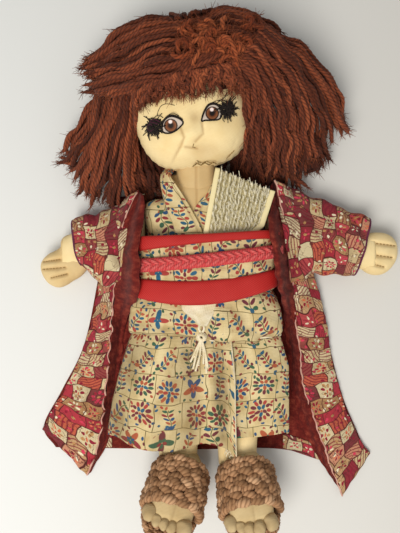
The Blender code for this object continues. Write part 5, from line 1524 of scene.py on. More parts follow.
    def build_curls(self) -> None:
        """Builds the clump on the crown: orange yarn in short loose curls, a bend that grows along each."""
        rng = np.random.default_rng(SEED + 41)
        weave = Weave()
        count, n = 84, 34
        px = rng.uniform(185, 251, count)
        py = rng.uniform(27, 50, count) + 9 * (np.abs(px - 230) < 10)
        base = np.interp(py, [28, 50], [79, 91]) + rng.uniform(-1.0, 3.4, count)
        start = at_pixel(px, py, base)
        t = steps(n)[None]
        bend = rng.normal(0, 2.6, (count, 1)) + rng.normal(0, 1.5, (count, 1)) * np.sin(4 * t)
        angle = rng.uniform(0, TURN, (count, 1)) + bend * t
        step = rng.uniform(9.0, 19.0, (count, 1)) / n
        paths = joint(start[:, :1] + np.cumsum(np.cos(angle) * step, axis=1), start[:, 1:2]
            + np.cumsum(np.sin(angle) * step, axis=1), start[:, 2:] + 2.6 * np.sin(math.pi * (t * 0.9 + 0.1)) - 1.6)
        paths[..., 2] = np.clip(paths[..., 2], 60.0, 97.5)
        tints = rng.uniform(0.1, 0.9, count)
        weave.tubes(paths, rng.uniform(1.15, 1.75, (count, 1)) + 0 * paths[..., 0], 8, lobes=3, depth=0.14,
            tint=tints)
        self.fluff(weave, paths, tints, SEED + 43)
        self.fluff(weave, paths[:, ::-1], tints, SEED + 45)
        weave.sew("hair_curls", [self.finishes.curl], "head", "auburn_yarn")

    def build(self) -> None:
        """Builds each part of the hair: its strands, their frayed ends and a sewn base beneath, dark as painted shade
        between the strands.
        """
        for part, locks in self.locks.items():
            weave = Weave()
            for i, lock in enumerate(locks):
                seed = SEED + 100 * (list(HairPart).index(part) + 1) + i
                paths = self.strands_of(lock, seed)
                tints = np.random.default_rng(seed + 7).uniform(*lock.tint, len(paths))
                taper = np.full(paths.shape[:2], self.radius)
                taper[:, -1] *= 0.75
                weave.tubes(paths, taper, self.sides, lobes=3, depth=0.13, tint=tints)
                self.fluff(weave, paths, tints, seed + 9)
            weave.sew(part.value + "_yarn", [self.finishes.hair], "head", "auburn_yarn", part.value)
        self.build_curls()
        self.build_base()

    def build_base(self) -> None:
        """Builds the sewn cap under the yarn: the head's own shape a little larger, over its crown and back, in the
        darkest yarn tone as painted shade that shows between strands.
        """
        rows, cols = 60, 90
        a = np.linspace(0.42, math.pi - 0.12, rows)
        b = np.linspace(math.radians(2), math.radians(178), cols)
        c, s = squarish(b, self.head.squareness)
        away = np.sin(a) ** (2 / self.head.rim_power)
        high = np.sign(np.cos(a)) * np.abs(np.cos(a)) ** (2 / self.head.crown_power)
        u = away[:, None] * c * (self.head.half_width + 1.6)
        v = away[:, None] * s * (self.head.crown + 1.6) - 4.0
        cosine, sine = math.cos(self.head.tilt), math.sin(self.head.tilt)
        x = self.head.centre[0] + u * cosine - v * sine
        y = self.head.centre[1] + u * sine + v * cosine
        z = self.head.centre[2] + high[:, None] * (self.head.front_height + 2.2) + 0 * x
        weave = Weave()
        # Its tint gives the darkest yarn tone: painted shade that shows between the strands.
        weave.cloth(joint(x, y, z), 0.8, tint=0.05)
        weave.sew("hair_shade_base", [self.finishes.hair], "head", "auburn_yarn")


@dataclass(frozen=True)
class Girth:
    """A body's sections along its length: half width, lowest and highest point at each place."""

    places: tuple  # places along the length in mm, from the lowest number up
    middle: tuple  # middle across at each
    half: tuple  # half width at each
    low: tuple  # lowest height at each
    high: tuple  # highest height at each
    squareness: float = 2.8  # squareness of the sections

    def at(self, name: str, y: Array) -> Array:
        """Value of one size at places along the length."""
        return np.interp(y, self.places, getattr(self, name))

    def around(self, y: Array, count: int, over: float = 0.0) -> Array:
        """Points of sections at places along the length, moved out by a distance.

        Args:
            y: Place of every row, or of every point.
            count: Points in a section.
            over: Distance outwards in mm.

        Returns:
            Rows by points by three.
        """
        c, s = ring(count, self.squareness)
        y = y if y.ndim == 2 else np.repeat(y[:, None], count, axis=1)
        x = self.at("middle", y) + (self.at("half", y) + over) * c
        mid = (self.at("high", y) + self.at("low", y)) / 2
        z = mid + ((self.at("high", y) - self.at("low", y)) / 2 + over) * s
        return joint(x, y, z)

    def front(self, x: Array, y: Array) -> Array:
        """Height of the front at places in plan: the section's superellipse.

        Args:
            x: Across in mm.
            y: Along in mm.

        Returns:
            Heights in mm.
        """
        away = np.clip(np.abs((x - self.at("middle", y)) / self.at("half", y)), 0, 1)
        mid = (self.at("high", y) + self.at("low", y)) / 2
        return mid + (self.at("high", y) - mid) * (1 - away ** self.squareness) ** (1 / self.squareness)


TRUNK = Girth(places=(-60, -52, -43, -30, 0, 20, 42, 50, 54, 57), middle=(0, ) * 10,
    half=(44, 52, 53, 45, 45, 46.5, 50, 48, 40, 26), low=(10, 6.5, 6, 6, 6, 6, 6, 7, 10, 16),
    high=(34, 39, 41, 41, 41, 41, 41, 40, 38, 34), squareness=2.7)
WAIST = Girth(places=(-34, 34), middle=(0.4, 0.4), half=(55.4, 55.4), low=(3, 3), high=(50.2, 50.2), squareness=3.9)


@dataclass
class Body:
    """Stuffed trunk, and the bare calico that shows in the neckline."""

    finishes: Finishes

    def build(self) -> None:
        """Builds the trunk from its sections, and the chest as a patch between the lapels."""
        weave = Weave()
        weave.grid(TRUNK.around(np.linspace(-59.5, 56.8, 70), 110, -1.6), wrap=True, caps=True)
        trunk = weave.sew("trunk_calico", [self.finishes.skin], "torso", "calico_skin", "torso")
        net = placed([[(160, 178, 30), (176, 175, 36), (198, 174, 38), (222, 174, 36), (236, 180, 30)],
            [(164, 200, 40), (180, 200, 44), (198, 200, 45), (216, 200, 43), (232, 202, 40)],
            [(176, 222, 41), (186, 222, 43.5), (197, 222, 44), (208, 222, 42.5), (218, 222, 41)]])
        points = patch(net, 40, 60)
        points[..., 2] = np.minimum(points[..., 2], 43.6 + 0.05 * (40 - points[..., 1]))
        groove = np.exp(-((points[..., 0] + 6.6) / 0.7) ** 2)
        points[..., 2] -= 0.5 * groove
        chest = Weave()
        # The tint is painted shade: the whole patch darker where it lies deep in the neckline, and more in the seam's
        # groove.
        chest.cloth(points, 0.6, tint=0.48 + 0.3 * groove)
        chest.sew("chest_calico", [self.finishes.skin], "torso", "calico_skin")


@dataclass
class Kimono:
    """Printed kimono: bodice, crossed lapels, bloused overfold, wrapped skirt, tie, knot and tassel."""

    finishes: Finishes
    wall: float = 1.0
    skirt: Girth = Girth(places=(-150, -135, -110, -82, -60, -48), middle=(-5, -5, -3, 0.5, 1, 1),
        half=(75.5, 74.5, 72.5, 69, 62.5, 57), low=(2.4, 2.2, 2.2, 2.2, 3, 6), high=(34, 35.5, 37.2, 38, 38.4, 37),
        squareness=2.7)
    overfold: Girth = Girth(places=(-60, -57, -52, -44, -34, -24, -16), middle=(0.5, ) * 7,
        half=(54, 59.5, 62, 62, 60.5, 57, 52), low=(10, 6, 4.4, 4, 4, 5, 8),
        high=(38, 42.5, 45, 46.2, 46.6, 45.6, 42), squareness=2.9)

    def folds(self, points: Array, amount: float, seed: int, wavelength: float = 26.0) -> Array:
        """Moves a sheet along its normals by soft ripples."""
        height = amount * ripples(points[..., 0] * 1.6, points[..., 1] * 0.7, seed, wavelength)
        return points + normals_of(points) * height[..., None] * -1.0

    def build(self) -> None:
        """Builds the kimono from the body outwards."""
        self.build_bodice()
        self.build_lapels()
        self.build_skirt()
        self.build_overfold()
        self.build_tie()

    def build_bodice(self) -> None:
        """Builds the bodice: the trunk's sections with the cloth's ease."""
        points = TRUNK.around(np.linspace(-57, 55.6, 110), 150, 0.2)
        dip = np.clip(1 - ((points[..., 0] + 5) / 15) ** 2, 0,
            1) * (points[..., 2] > 24) * np.clip((points[..., 1] - 40) / 14, 0, 1)
        points[..., 2] -= 2.5 * dip
        weave = Weave()
        weave.cloth(self.folds(points, 0.8, SEED + 21), self.wall, wrap=True)
        bodice = weave.sew("bodice_cotton", [self.finishes.kimono], "torso", "kimono_cotton", "kimono_bodice")

    def build_lapels(self) -> None:
        """Builds both lapels as smooth patches through points of the photograph, with a seam along each."""
        nets = (("lapel_right_cotton", "kimono_lapel_right", [[(165, 169, 30), (170, 168, 36), (175, 169, 38)],
            [(161, 176, 38), (166, 174.6, 45), (171, 177, 48)], [(161, 186, 41.5), (169, 186, 46.5), (177, 186, 48)],
            [(164, 198, 43.2), (174, 198, 46.8), (185, 198, 47.2)],
            [(168, 212, 43.6), (180, 212, 46.2), (193, 212, 46.4)],
            [(173, 224, 43.6), (186, 224, 45.8), (199.5, 224, 45.8)],
            [(177, 240, 43.4), (190, 240, 45.6), (205, 240, 45.6)]]), ("lapel_left_cotton", "kimono_lapel_left",
            [[(219, 170, 30), (225, 172, 34), (231, 174, 32)], [(212, 184, 42), (220, 186, 43), (229, 188, 40)],
            [(206, 194, 43.4), (216, 197, 43.4), (236, 198, 41)],
            [(196, 206, 44.2), (214, 210, 43.2), (244, 212, 41)],
            [(193, 216, 44), (214, 222, 42.8), (250, 224, 40.6)],
            [(196, 236, 43.2), (222, 238, 42.4), (256, 236, 40.4)]]))
        for name, node, net in nets:
            points = patch(placed(net), 70, 26)
            points[..., 2] += 0.35 * ripples(points[..., 0], points[..., 1], SEED + 31, 15)
            edge = np.exp(-((np.arange(26) - (21 if "right" in node else 4)) / 0.9) ** 2)
            points[..., 2] -= 0.45 * edge
            weave = Weave()
            # The tint is painted shade in the seam's groove.
            weave.cloth(points, self.wall, tint=np.broadcast_to(0.35 * edge, points.shape[:2]))
            lapel = weave.sew(name, [self.finishes.kimono], "torso", "kimono_cotton", node)

    def hem(self, x: Array) -> Array:
        """Hem of the over-panel: its height in plan at places across."""
        return np.interp(x, [-80, -65, -46, -31, -13, -1, 14, 21, 24, 27], [-135, -143.5, -148.6, -147.8, -143.8,
            -141.2, -145, -148.5, -153, -157])

    def creases(self, points: Array) -> Array:
        """Height of the skirt's own folds: long ridges and hollows down from the tie, placed in the photograph.

        Args:
            points: The sheet.

        Returns:
            Heights in mm.
        """
        px, py = pixel_of(points)
        high = worked(px, py, ((1.7, [(231, 350), (235, 390), (234, 430), (236, 462)], 5),
            (-1.5, [(220, 352), (222, 392), (224, 436)], 6), (1.3, [(206, 350), (210, 390), (207, 444)], 7),
            (-1.2, [(188, 352), (192, 400), (190, 446)], 8), (1.5, [(160, 345), (150, 390), (140, 448)], 12),
            (-1.3, [(136, 345), (124, 390), (116, 440)], 8), (1.3, [(262, 345), (268, 390), (270, 436)], 9),
            (-1.2, [(248, 350), (250, 392), (250, 436)], 5), (1, [(284, 350), (284, 400)], 6)))
        return 1.5 * high + 0.7 * ripples(points[..., 0], points[..., 1] * 0.5, SEED + 51, 20)

    def build_skirt(self) -> None:
        """Builds the skirt's under-tube and the over-panel that is wrapped over it with a free edge."""
        columns = 200
        c, s = ring(columns, self.skirt.squareness)
        t = steps(90)[:, None]
        end = np.where(s > 0, np.where(c > 0.3, -136.4, -137.0), -139.0)
        y = -48.0 + t * (end[None] + 48.0) + 1.0 * np.sin(c * 9)[None] * t
        points = self.skirt.around(y, columns, -0.8)
        flute = np.sin(np.arange(columns) * TURN / columns * 15 + 1.0)[None] * t ** 1.5
        away = round_normals(points)
        up = np.clip(s, 0, 1)[None]
        points = points - away * (0.9 * flute * (1 - up))[..., None]
        points[..., 2] += self.creases(points) * up * 0.8
        points[..., 2] = np.maximum(points[..., 2], LOWEST)
        weave = Weave()
        weave.cloth(points, self.wall, wrap=True)
        tube = weave.make("skirt_under_cotton", [self.finishes.kimono])
        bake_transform(tube)
        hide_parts("kimono_skirt")
        self.build_panel()

    def build_panel(self) -> None:
        """Builds the over-panel: it follows the skirt's front to a free edge, and has a frayed corner."""
        rows, columns = 120, 140
        t = steps(rows)[:, None]
        a = steps(columns)[None]
        top = -47.0
        guess = top + t * (self.hem(np.linspace(-79, 27, columns))[None] - top)
        left = self.skirt.at("middle", guess) - self.skirt.at("half", guess) - 0.4
        edge = np.interp(guess, [-160, -150, -120, -90, -60, -48], [26.2, 25.2, 24.4, 23.8, 21, 19])
        x = left + (edge - left) * a ** 0.85
        y = guess + 0.8 * ripples(x, guess, SEED + 61, 20) * t
        z = self.skirt.front(x, y) + 1.1
        points = joint(x, y, z)
        points[..., 2] += self.creases(points) * np.clip(a * 8, 0, 1)
        lift = np.clip((a - 0.965) / 0.035, 0, 1) ** 1.5 * np.clip((t - 0.1) * 3, 0, 1)
        points[..., 2] += 1.3 * lift
        weave = Weave()
        # The tint darkens the whole panel, partly its duller tone and partly painted shade, with more painted shade
        # in the creases' hollows.
        weave.cloth(points, self.wall, tint=np.clip(0.22 - 0.13 * self.creases(points), 0, 0.55))
        weave.tubes(points[:, -2] + np.array([0.2, 0, 0.35]), 0.55, 8, tint=0.2, finish=1)
        self.fray(weave, points[-1, -26:])
        panel = weave.make("skirt_over_cotton", [self.finishes.kimono, self.finishes.cream])
        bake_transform(panel)

    def fray(self, weave: Weave, edge: Array) -> None:
        """Adds loose threads at the over-panel's corner.

        Args:
            weave: Gathers them.
            edge: Points of the edge that they leave.
        """
        rng = np.random.default_rng(SEED + 63)
        start = edge[rng.integers(len(edge) - 14, len(edge), 18)] + rng.normal(0, 0.4, (18, 3))
        t = steps(12)[None, :, None]
        reach = rng.uniform(2.5, 8.5, (18, 1, 1))
        heading = joint(rng.normal(0.0, 0.55, 18), np.full(18, -1.0), rng.normal(-0.25, 0.2, 18))
        curl = np.sin(t * 5 + rng.uniform(0, 6, (18, 1, 1))) * np.array([0.8, 0.2, 0.3])
        weave.tubes(start[:, None] + heading[:, None] * reach * t + curl, 0.32, 5, finish=1)

    def build_overfold(self) -> None:
        """Builds the overfold, with its edge rolled in over the tie, and the plain tucked fold."""
        columns = 190
        c, s = ring(columns, self.overfold.squareness)
        x = 62 * c
        low = np.where(s > 0, np.interp(x, [-62, -30, -4, -1, 12, 42, 62],
            [-53.5, -55, -56, -57, -60.5, -61.5, -56.5]), -55.0)
        t = steps(70)[:, None]
        y = -17.0 + t * (low[None] + 17.0)
        clipped = np.clip(y, -57.0, -16)
        points = self.overfold.around(clipped, columns)
        points[..., 1] = y
        inward = np.clip((t - 0.86) / 0.14, 0, 1) ** 2
        points[..., 2] -= 4.2 * inward * np.clip(s, 0, 1)[None]
        px, py = pixel_of(points)
        front = np.clip(s, 0, 1)[None] ** 0.5
        high = worked(px, py, ((1.3, [(140, 306), (168, 322), (192, 334)], 7),
            (-1.6, [(128, 322), (158, 330), (190, 325)], 4.5), (1.2, [(218, 308), (226, 330), (222, 342)], 6),
            (-1.5, [(232, 306), (244, 328), (262, 338)], 5), (1.6, [(252, 300), (270, 322), (288, 332)], 8),
            (-1.2, [(286, 316), (272, 334), (262, 344)], 4)))
        high = 1.3 * high + 0.6 * ripples(points[..., 0], points[..., 1] * 1.6, SEED + 71, 18)
        points[..., 2] += high * front
        weave = Weave()
        # The tint is painted shade: in the folds' hollows, and on the edge where it rolls in and down.
        weave.cloth(points, self.wall, tint=np.clip(-0.15 * high, 0, 0.4) + 0.5 * inward * (s > 0), wrap=True)
        piece = weave.sew("overfold_cotton", [self.finishes.kimono], "torso", "kimono_cotton", "kimono_overfold")
        net = placed([[(186, 292, 47.5), (200, 291, 48.5), (218, 292, 47.5)],
            [(182, 304, 48), (199, 303, 49.2), (216, 304, 48)],
            [(182.5, 310, 48), (198, 311, 49.2), (214, 313, 47.8)],
            [(190, 317, 47.6), (200, 319, 48.6), (210, 320, 47.4)],
            [(199, 325, 47), (203, 326, 47.4), (207, 326, 46.8)]])
        points = patch(net, 40, 34)
        points[..., 2] += 0.5 * ripples(points[..., 0], points[..., 1], SEED + 73, 11)
        weave = Weave()
        weave.cloth(points, 1.0)
        tuck = weave.sew("tuck_cotton", [self.finishes.cream], "torso", "cream_cotton", "kimono_tuck")

    def build_tie(self) -> None:
        """Builds the thin tie round the waist, its knot as wound cord, and the tassel's threads."""
        c, s = ring(160, 2.8)
        x = 1.0 + 62.0 * c
        y = np.interp(x, [-62, -14, -4, 4, 14, 62], [-53, -53.6, -56.8, -58.6, -58.4, -55.6])
        x, z = 1.0 + 60.6 * c, 22.5 + 17.0 * s
        weave = Weave()
        weave.tubes(joint(x, y, z), 1.0, 10, lobes=2, depth=0.16, pitch=4.0, hoop=True)
        weave.sew("tie_cord", [self.finishes.cream], "torso", "cream_cotton", "waist_tie")
        heart = at_pixel(201.5, 337.0, 44.2)
        knot = Weave()
        angle = np.linspace(0, TURN, 41)[:-1]
        for tilt, reach, drop in ((0.3, 3.2, 0), (1.5, 2.9, 0.6), (-0.7, 3, 1), (2.4, 2.4, 1.6)):
            wind = joint(reach * np.cos(angle), reach * 0.8 * np.sin(angle), 1.3 * np.sin(angle + tilt))
            turned = joint(wind[:, 0] * math.cos(tilt) - wind[:, 1] * math.sin(tilt), wind[:, 0] * math.sin(tilt)
                + wind[:, 1] * math.cos(tilt), wind[:, 2])
            knot.tubes(heart + turned + np.array([0, 0, drop]), 1.25, 8, lobes=2, depth=0.15, pitch=3.0, hoop=True)
        up = steps(16)[:, None]
        for side in (-1, 1):
            ear = heart + np.concatenate([side * 2.0 * np.sin(up * 3), 3.0 + 8.0 * up, 1.0 + 1.5 * np.sin(up * 3)],
                axis=1)
            knot.tubes(ear, 1.0, 8, lobes=2, depth=0.15, pitch=3.0)
        knot.sew("tie_knot", [self.finishes.cream], "torso", "cream_cotton", "waist_knot")
        rng = np.random.default_rng(SEED + 81)
        tassel = Weave()
        ends = ((190.5, 362), (193, 369), (195.5, 371), (198.5, 366), (201, 356), (203.5, 364), (206.5, 373),
            (208, 368), (194, 358))
        paths = []
        for px, py in ends:
            line = np.array([(201.5, 338), ((px + 201.5) / 2 + rng.uniform(-1.5, 1.5), (py + 338) / 2), (px, py)])
            flat = spline(line, steps(34))
            place = at_pixel(flat[:, 0], flat[:, 1], 42.0)
            z = np.interp(steps(34), [0, 0.25, 1], [44.5, 43.6, 41.6]) + rng.uniform(-0.3, 0.8)
            place[:, 2] = z
            paths.append(place)
        tassel.tubes(np.stack(paths), 0.82, 8, lobes=2, depth=0.16, pitch=3.2)
        tassel.sew("tie_tassel", [self.finishes.cream], "leg_left", "cream_cotton", "waist_tassel")


@dataclass
class Obi:
    """Sash: printed cotton under two padded red ribbons, with a knitted cord between them."""

    finishes: Finishes
    count: int = 240

    def across(self, values: tuple, x: Array) -> Array:
        """Parabola through three heights, at the left, the middle and the right of the waist.

        Args:
            values: The three heights in mm.
            x: Across in mm.

        Returns:
            Heights in mm.
        """
        left, middle, right = values
        s = x / 56.0
        return middle + (right - left) / 2 * s + ((right + left) / 2 - middle) * s ** 2

    def band(self, top: tuple, low: tuple, thick: float, over: float, name: str, finish: bpy.types.Material,
            slot: str, node: str, creases: float = 0.0) -> None:
        """Builds a padded band round the waist: a flattened superellipse carried round the waist's section.

        Args:
            top: Heights of its upper edge at the left, middle and right.
            low: Heights of its lower edge.
            thick: Its thickness in mm.
            over: Distance of its middle from the sash in mm.
            name: The piece's name.
            finish: Its material.
            slot: Its slot.
            node: The node that it stands for.
            creases: Height of its creases in mm.
        """
        section = WAIST.around(np.zeros(1), self.count)[0]
        ahead = np.roll(section, -1, axis=0) - np.roll(section, 1, axis=0)
        away = joint(ahead[:, 2], 0 * ahead[:, 0], -ahead[:, 0])
        away = away / np.linalg.norm(away, axis=1, keepdims=True)
        upper, lower = self.across(top, section[:, 0]), self.across(low, section[:, 0])
        c, s = ring(28, 2.6)
        y = (upper + lower)[:, None] / 2 + (upper - lower)[:, None] / 2 * c
        lift = over + thick / 2 * s + 0 * y
        run = np.cumsum(np.linalg.norm(ahead, axis=1) / 2)[:, None]
        lift = lift + creases * ripples(run + 0 * y, y * 1.5, SEED + 91, 17) * (s > 0)
        points = section[:, None] + away[:, None] * lift[..., None]
        points[..., 1] = y
        points[..., 2] = np.maximum(points[..., 2], 1.6)
        weave = Weave()
        # The tint is painted shade towards the band's upper and lower edges, where it rounds away.
        weave.grid(points, tint=np.clip(0.35 - 1.2 * (1 - np.abs(c)), 0, 1)[None] + 0 * y, hoop=True, wrap=True)
        piece = weave.sew(name, [finish], "torso", slot, node)

    def build(self) -> None:
        """Builds the sash, both ribbons and the knitted cord with its row of loops."""
        weave = Weave()
        rows = steps(46)[:, None]
        section = WAIST.around(np.zeros(1), self.count)[0]
        upper = self.across((22.5, 24.5, 28.6), section[:, 0])
        lower = self.across((-24, -28.5, -16.5), section[:, 0])
        points = np.repeat(section[None], 46, axis=0)
        points[..., 1] = upper[None] * (1 - rows) + lower[None] * rows
        wrinkle = 0.55 * ripples(np.cumsum(np.ones(self.count))[None] * 1.4 + 0 * points[..., 1], points[..., 1]
            * 2.4, SEED + 95, 16)
        points[..., 2] += wrinkle * (points[..., 2] > 30) + 0.3
        weave.cloth(points, 1.0, wrap=True)
        sash = weave.sew("sash_cotton", [self.finishes.kimono], "torso", "kimono_cotton", "obi_sash")
        self.band((23.6, 25.4, 29.2), (11, 18.2, 21.8), 5.2, 1.6, "ribbon_upper", self.finishes.ribbon, "red_ribbon",
            "obi_ribbon_upper", 0.25)
        self.band((-8.6, -10.8, -1.6), (-23.4, -29.6, -15.6), 4.6, 1.4, "ribbon_lower", self.finishes.ribbon,
            "red_ribbon", "obi_ribbon_lower", 0.25)
        self.build_cord()

    def build_cord(self) -> None:
        """Builds the knitted cord: two plied sides, and between them V loops, each of two short slanted arms."""
        section = WAIST.around(np.zeros(1), 300, 3.2)[0]
        section[:, 2] = np.maximum(section[:, 2], 3.6)
        middle = self.across((0.3, 4.8, 12), section[:, 0])
        weave = Weave()
        for shift, radius, lift in ((2.9, 2.5, 0), (-2.9, 2.5, 0), (0, 3, -0.3)):
            path = section.copy()
            path[:, 1] = middle + shift
            path[:, 2] += lift
            weave.tubes(path, radius, 14, lobes=4, depth=0.07, pitch=9.0, tint=0.45, hoop=True)
        step = np.linalg.norm(np.roll(section, -1, axis=0) - section, axis=1)
        run = np.cumsum(step)
        places = np.arange(0, run[-1], 5.6)
        arms = []
        t = steps(12)
        outer = WAIST.around(np.zeros(1), 300, 5.6)[0]
        for side in (-1, 1):
            at = np.interp(places[:, None] + 4.8 * t[None], run, np.arange(300), period=None)
            x = np.interp(at, np.arange(300), outer[:, 0])
            z = np.interp(at, np.arange(300), outer[:, 2])
            y = self.across((0.3, 4.8, 12), x) + side * (0.3 + 3.1 * t[None])
            arms.append(joint(x, y, z - 0.5 + 0.7 * np.sin(math.pi * t)[None]))
        paths = np.concatenate(arms)
        paths[..., 2] = np.maximum(paths[..., 2], 2.2)
        keep = np.linalg.norm(np.diff(paths, axis=1), axis=-1).max(axis=1) < 3.0
        weave.tubes(paths[keep], 1.25, 8, lobes=2, depth=0.15, pitch=4.0, tint=0.7)
        weave.sew("obi_cord_knit", [self.finishes.knit], "torso", "pink_knit", "obi_cord")


@dataclass
class Haori:
    """Open haori of patchwork print: a flat back, two hanging fronts with piped edges, and wide sleeves."""

    finishes: Finishes
    wall: float = 1.0

    def sheet_of(self, weave: Weave, net: list, rows: int, cols: int, ripple: float, seed: int, finish: int,
            inside: int) -> Array:
        """Adds a sheet through points of the photograph, with soft diagonal ripples.

        Args:
            weave: Gathers it.
            net: Control points as pixel across, pixel down and height.
            rows: Rows of the sheet.
            cols: Columns of the sheet.
            ripple: Height of the ripples in mm.
            seed: Their seed.
            finish: Number of the outside's material.
            inside: Number of the inside's material.

        Returns:
            The sheet's points.
        """
        points = patch(placed(net), rows, cols)
        inner = np.sin(math.pi * np.linspace(0.02, 0.98, cols)) ** 0.5
        high = ripple * ripples(points[..., 0] * 1.5 - points[..., 1] * 0.25, points[..., 1] * 0.5, seed, 19)
        edge = np.exp(-steps(cols)[::-1] * 3.2) * (ripple > 0.8)
        pucker = 1.5 * ripples(points[..., 0] * 0.5 - points[..., 1], points[..., 1] * 0.9, seed + 5, 11) * edge[None]
        points[..., 2] = np.maximum(points[..., 2] + high * inner[None] + pucker, LOWEST)
        points[..., 0] += 0.7 * ripples(points[..., 1], points[..., 0] * 0.3, seed + 7, 13)
        if normals_of(points)[..., 2].mean() < 0:
            finish, inside = inside, finish
        weave.cloth(points, self.wall, finish=finish, inside=inside)
        return points

    def build_back(self) -> None:
        """Builds the back, which lies flat under the doll: a patch one cloth thick on the ground."""
        net = [[(112, 197, 0.7), (155, 196, 0.7), (200, 196, 0.7), (245, 196, 0.7), (292, 197, 0.7)], [(98, 280, 0.7),
            (150, 280, 0.7), (200, 280, 0.7), (252, 280, 0.7), (314, 280, 0.7)], [(84, 345, 0.7), (142, 342, 0.7),
            (200, 342, 0.7), (262, 342, 0.7), (329, 345, 0.7)], [(62, 390, 0.7), (128, 394, 0.7), (200, 396, 0.7),
            (274, 394, 0.7), (343, 398, 0.7)], [(44, 426, 0.7), (113, 437, 0.7), (200, 440, 0.7), (286, 438, 0.7),
            (363, 450, 0.7)], [(56, 447, 0.7), (113, 448, 0.7), (200, 449, 0.7), (286, 449.5, 0.7), (352, 472, 0.7)]]
        points = patch(placed(net), 110, 140)
        weave = Weave()
        weave.cloth(points, 1.1, finish=0, inside=1)
        for ends in ((70, 112), (283, 352)):
            px = np.linspace(*ends, 40)
            low = np.interp(px, [44, 56, 113, 286, 352], [430, 446, 447.4, 448.6, 471])
            facing = at_pixel(px[None], low[None] - np.linspace(15, 0, 12)[:, None], 1.6)
            weave.cloth(facing, 0.7, finish=0, inside=0)
        back = weave.sew("haori_back_cotton", [self.finishes.haori, self.finishes.lining], "torso", "haori_cotton",
            "haori_back")

    def build_front(self, name: str, node: str, outer: list, edge: list, inner: list, seed: int) -> None:
        """Builds one front: the print from its outer side to the piped edge, and the wrong side from there in.

        Args:
            name: The piece's name.
            node: The node that it stands for.
            outer: Points of its outer side.
            edge: Points of its piped edge.
            inner: Points where its lining meets the body.
            seed: Seed of its ripples.
        """
        weave = Weave()
        face = [[o, ((o[0] + e[0]) / 2, (o[1] + e[1]) / 2, max(o[2], e[2]) * 0.5 + (o[2] + e[2]) * 0.3), e] for o, e
            in zip(outer, edge)]
        points = self.sheet_of(weave, face, 170, 46, 1.1, seed, 0, 1)
        turned = [[e, (e[0] * 0.6 + i[0] * 0.4, e[1] * 0.6 + i[1] * 0.4, (e[2] + i[2]) * 0.43),
            (e[0] * 0.3 + i[0] * 0.7, e[1] * 0.3 + i[1] * 0.7, i[2] - 0.2 * (i[2] > 9)), i] for e, i
            in zip(edge, inner)]
        lining = self.sheet_of(weave, turned, 170, 22, 0.5, seed + 1, 1, 1)
        path = points[:, -1] + np.array([0, 0, 0.5])
        along = np.arange(len(path))
        weave.tubes(path, 0.66 + 0.14 * ripples(along, along * 0, seed + 9, 9), 8, tint=0.1, finish=2)
        front = weave.sew(name, [self.finishes.haori, self.finishes.lining, self.finishes.piping], "torso",
            "haori_cotton", node)

    def build_sleeve(self, side: str, top: list, low: list, seed: int) -> None:
        """Builds a sleeve: ovals between its upper and lower line, with folds that run from the armhole.

        Args:
            side: Left or right, the doll's own.
            top: Pixels of its upper line from the shoulder to the cuff.
            low: Pixels of its lower line.
            seed: Seed of its folds.
        """
        rows, cols = 90, 130
        t = steps(rows)
        upper = spline(placed([(x, y, 18) for x, y in top]), t)
        lower = spline(placed([(x, y, 14) for x, y in low]), t)
        c, s = ring(cols, 2.3)
        middle = (upper + lower) / 2
        reach = (upper - lower) / 2
        high = np.interp(t, [0, 0.3, 0.8, 1], [32.6, 32.4, 30, 28.4])
        base = np.full(rows, 2.3)
        points = middle[:, None] + reach[:, None] * c[None, :, None]
        points[..., 2] = ((high + base) / 2)[:, None] + ((high - base) / 2)[:, None] * s
        away = round_normals(points)
        outward = np.sign((away * (points - points.mean(axis=1, keepdims=True))).sum(axis=-1))[..., None]
        fold = 1.5 * ripples(points[..., 0] * 1.9 + points[..., 1] * 0.7, points[..., 1] * 1.1, seed, 27) - 0.8
        fold = fold * np.interp(t, [0, 0.25, 0.9, 1], [0.5, 1, 0.9, 0.5])[:, None]
        points = points + away * outward * fold[..., None]
        points[..., 2] = np.maximum(points[..., 2], LOWEST)
        weave = Weave()
        weave.cloth(points, self.wall, wrap=True, finish=0, inside=0)
        weave.tubes(points[-1], 1.0, 8, hoop=True, finish=1)
        sleeve = weave.make(f"haori_sleeve_{side}_cotton", [self.finishes.haori, self.finishes.plum])
        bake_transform(sleeve)
        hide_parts(f"haori_sleeve_{side}")

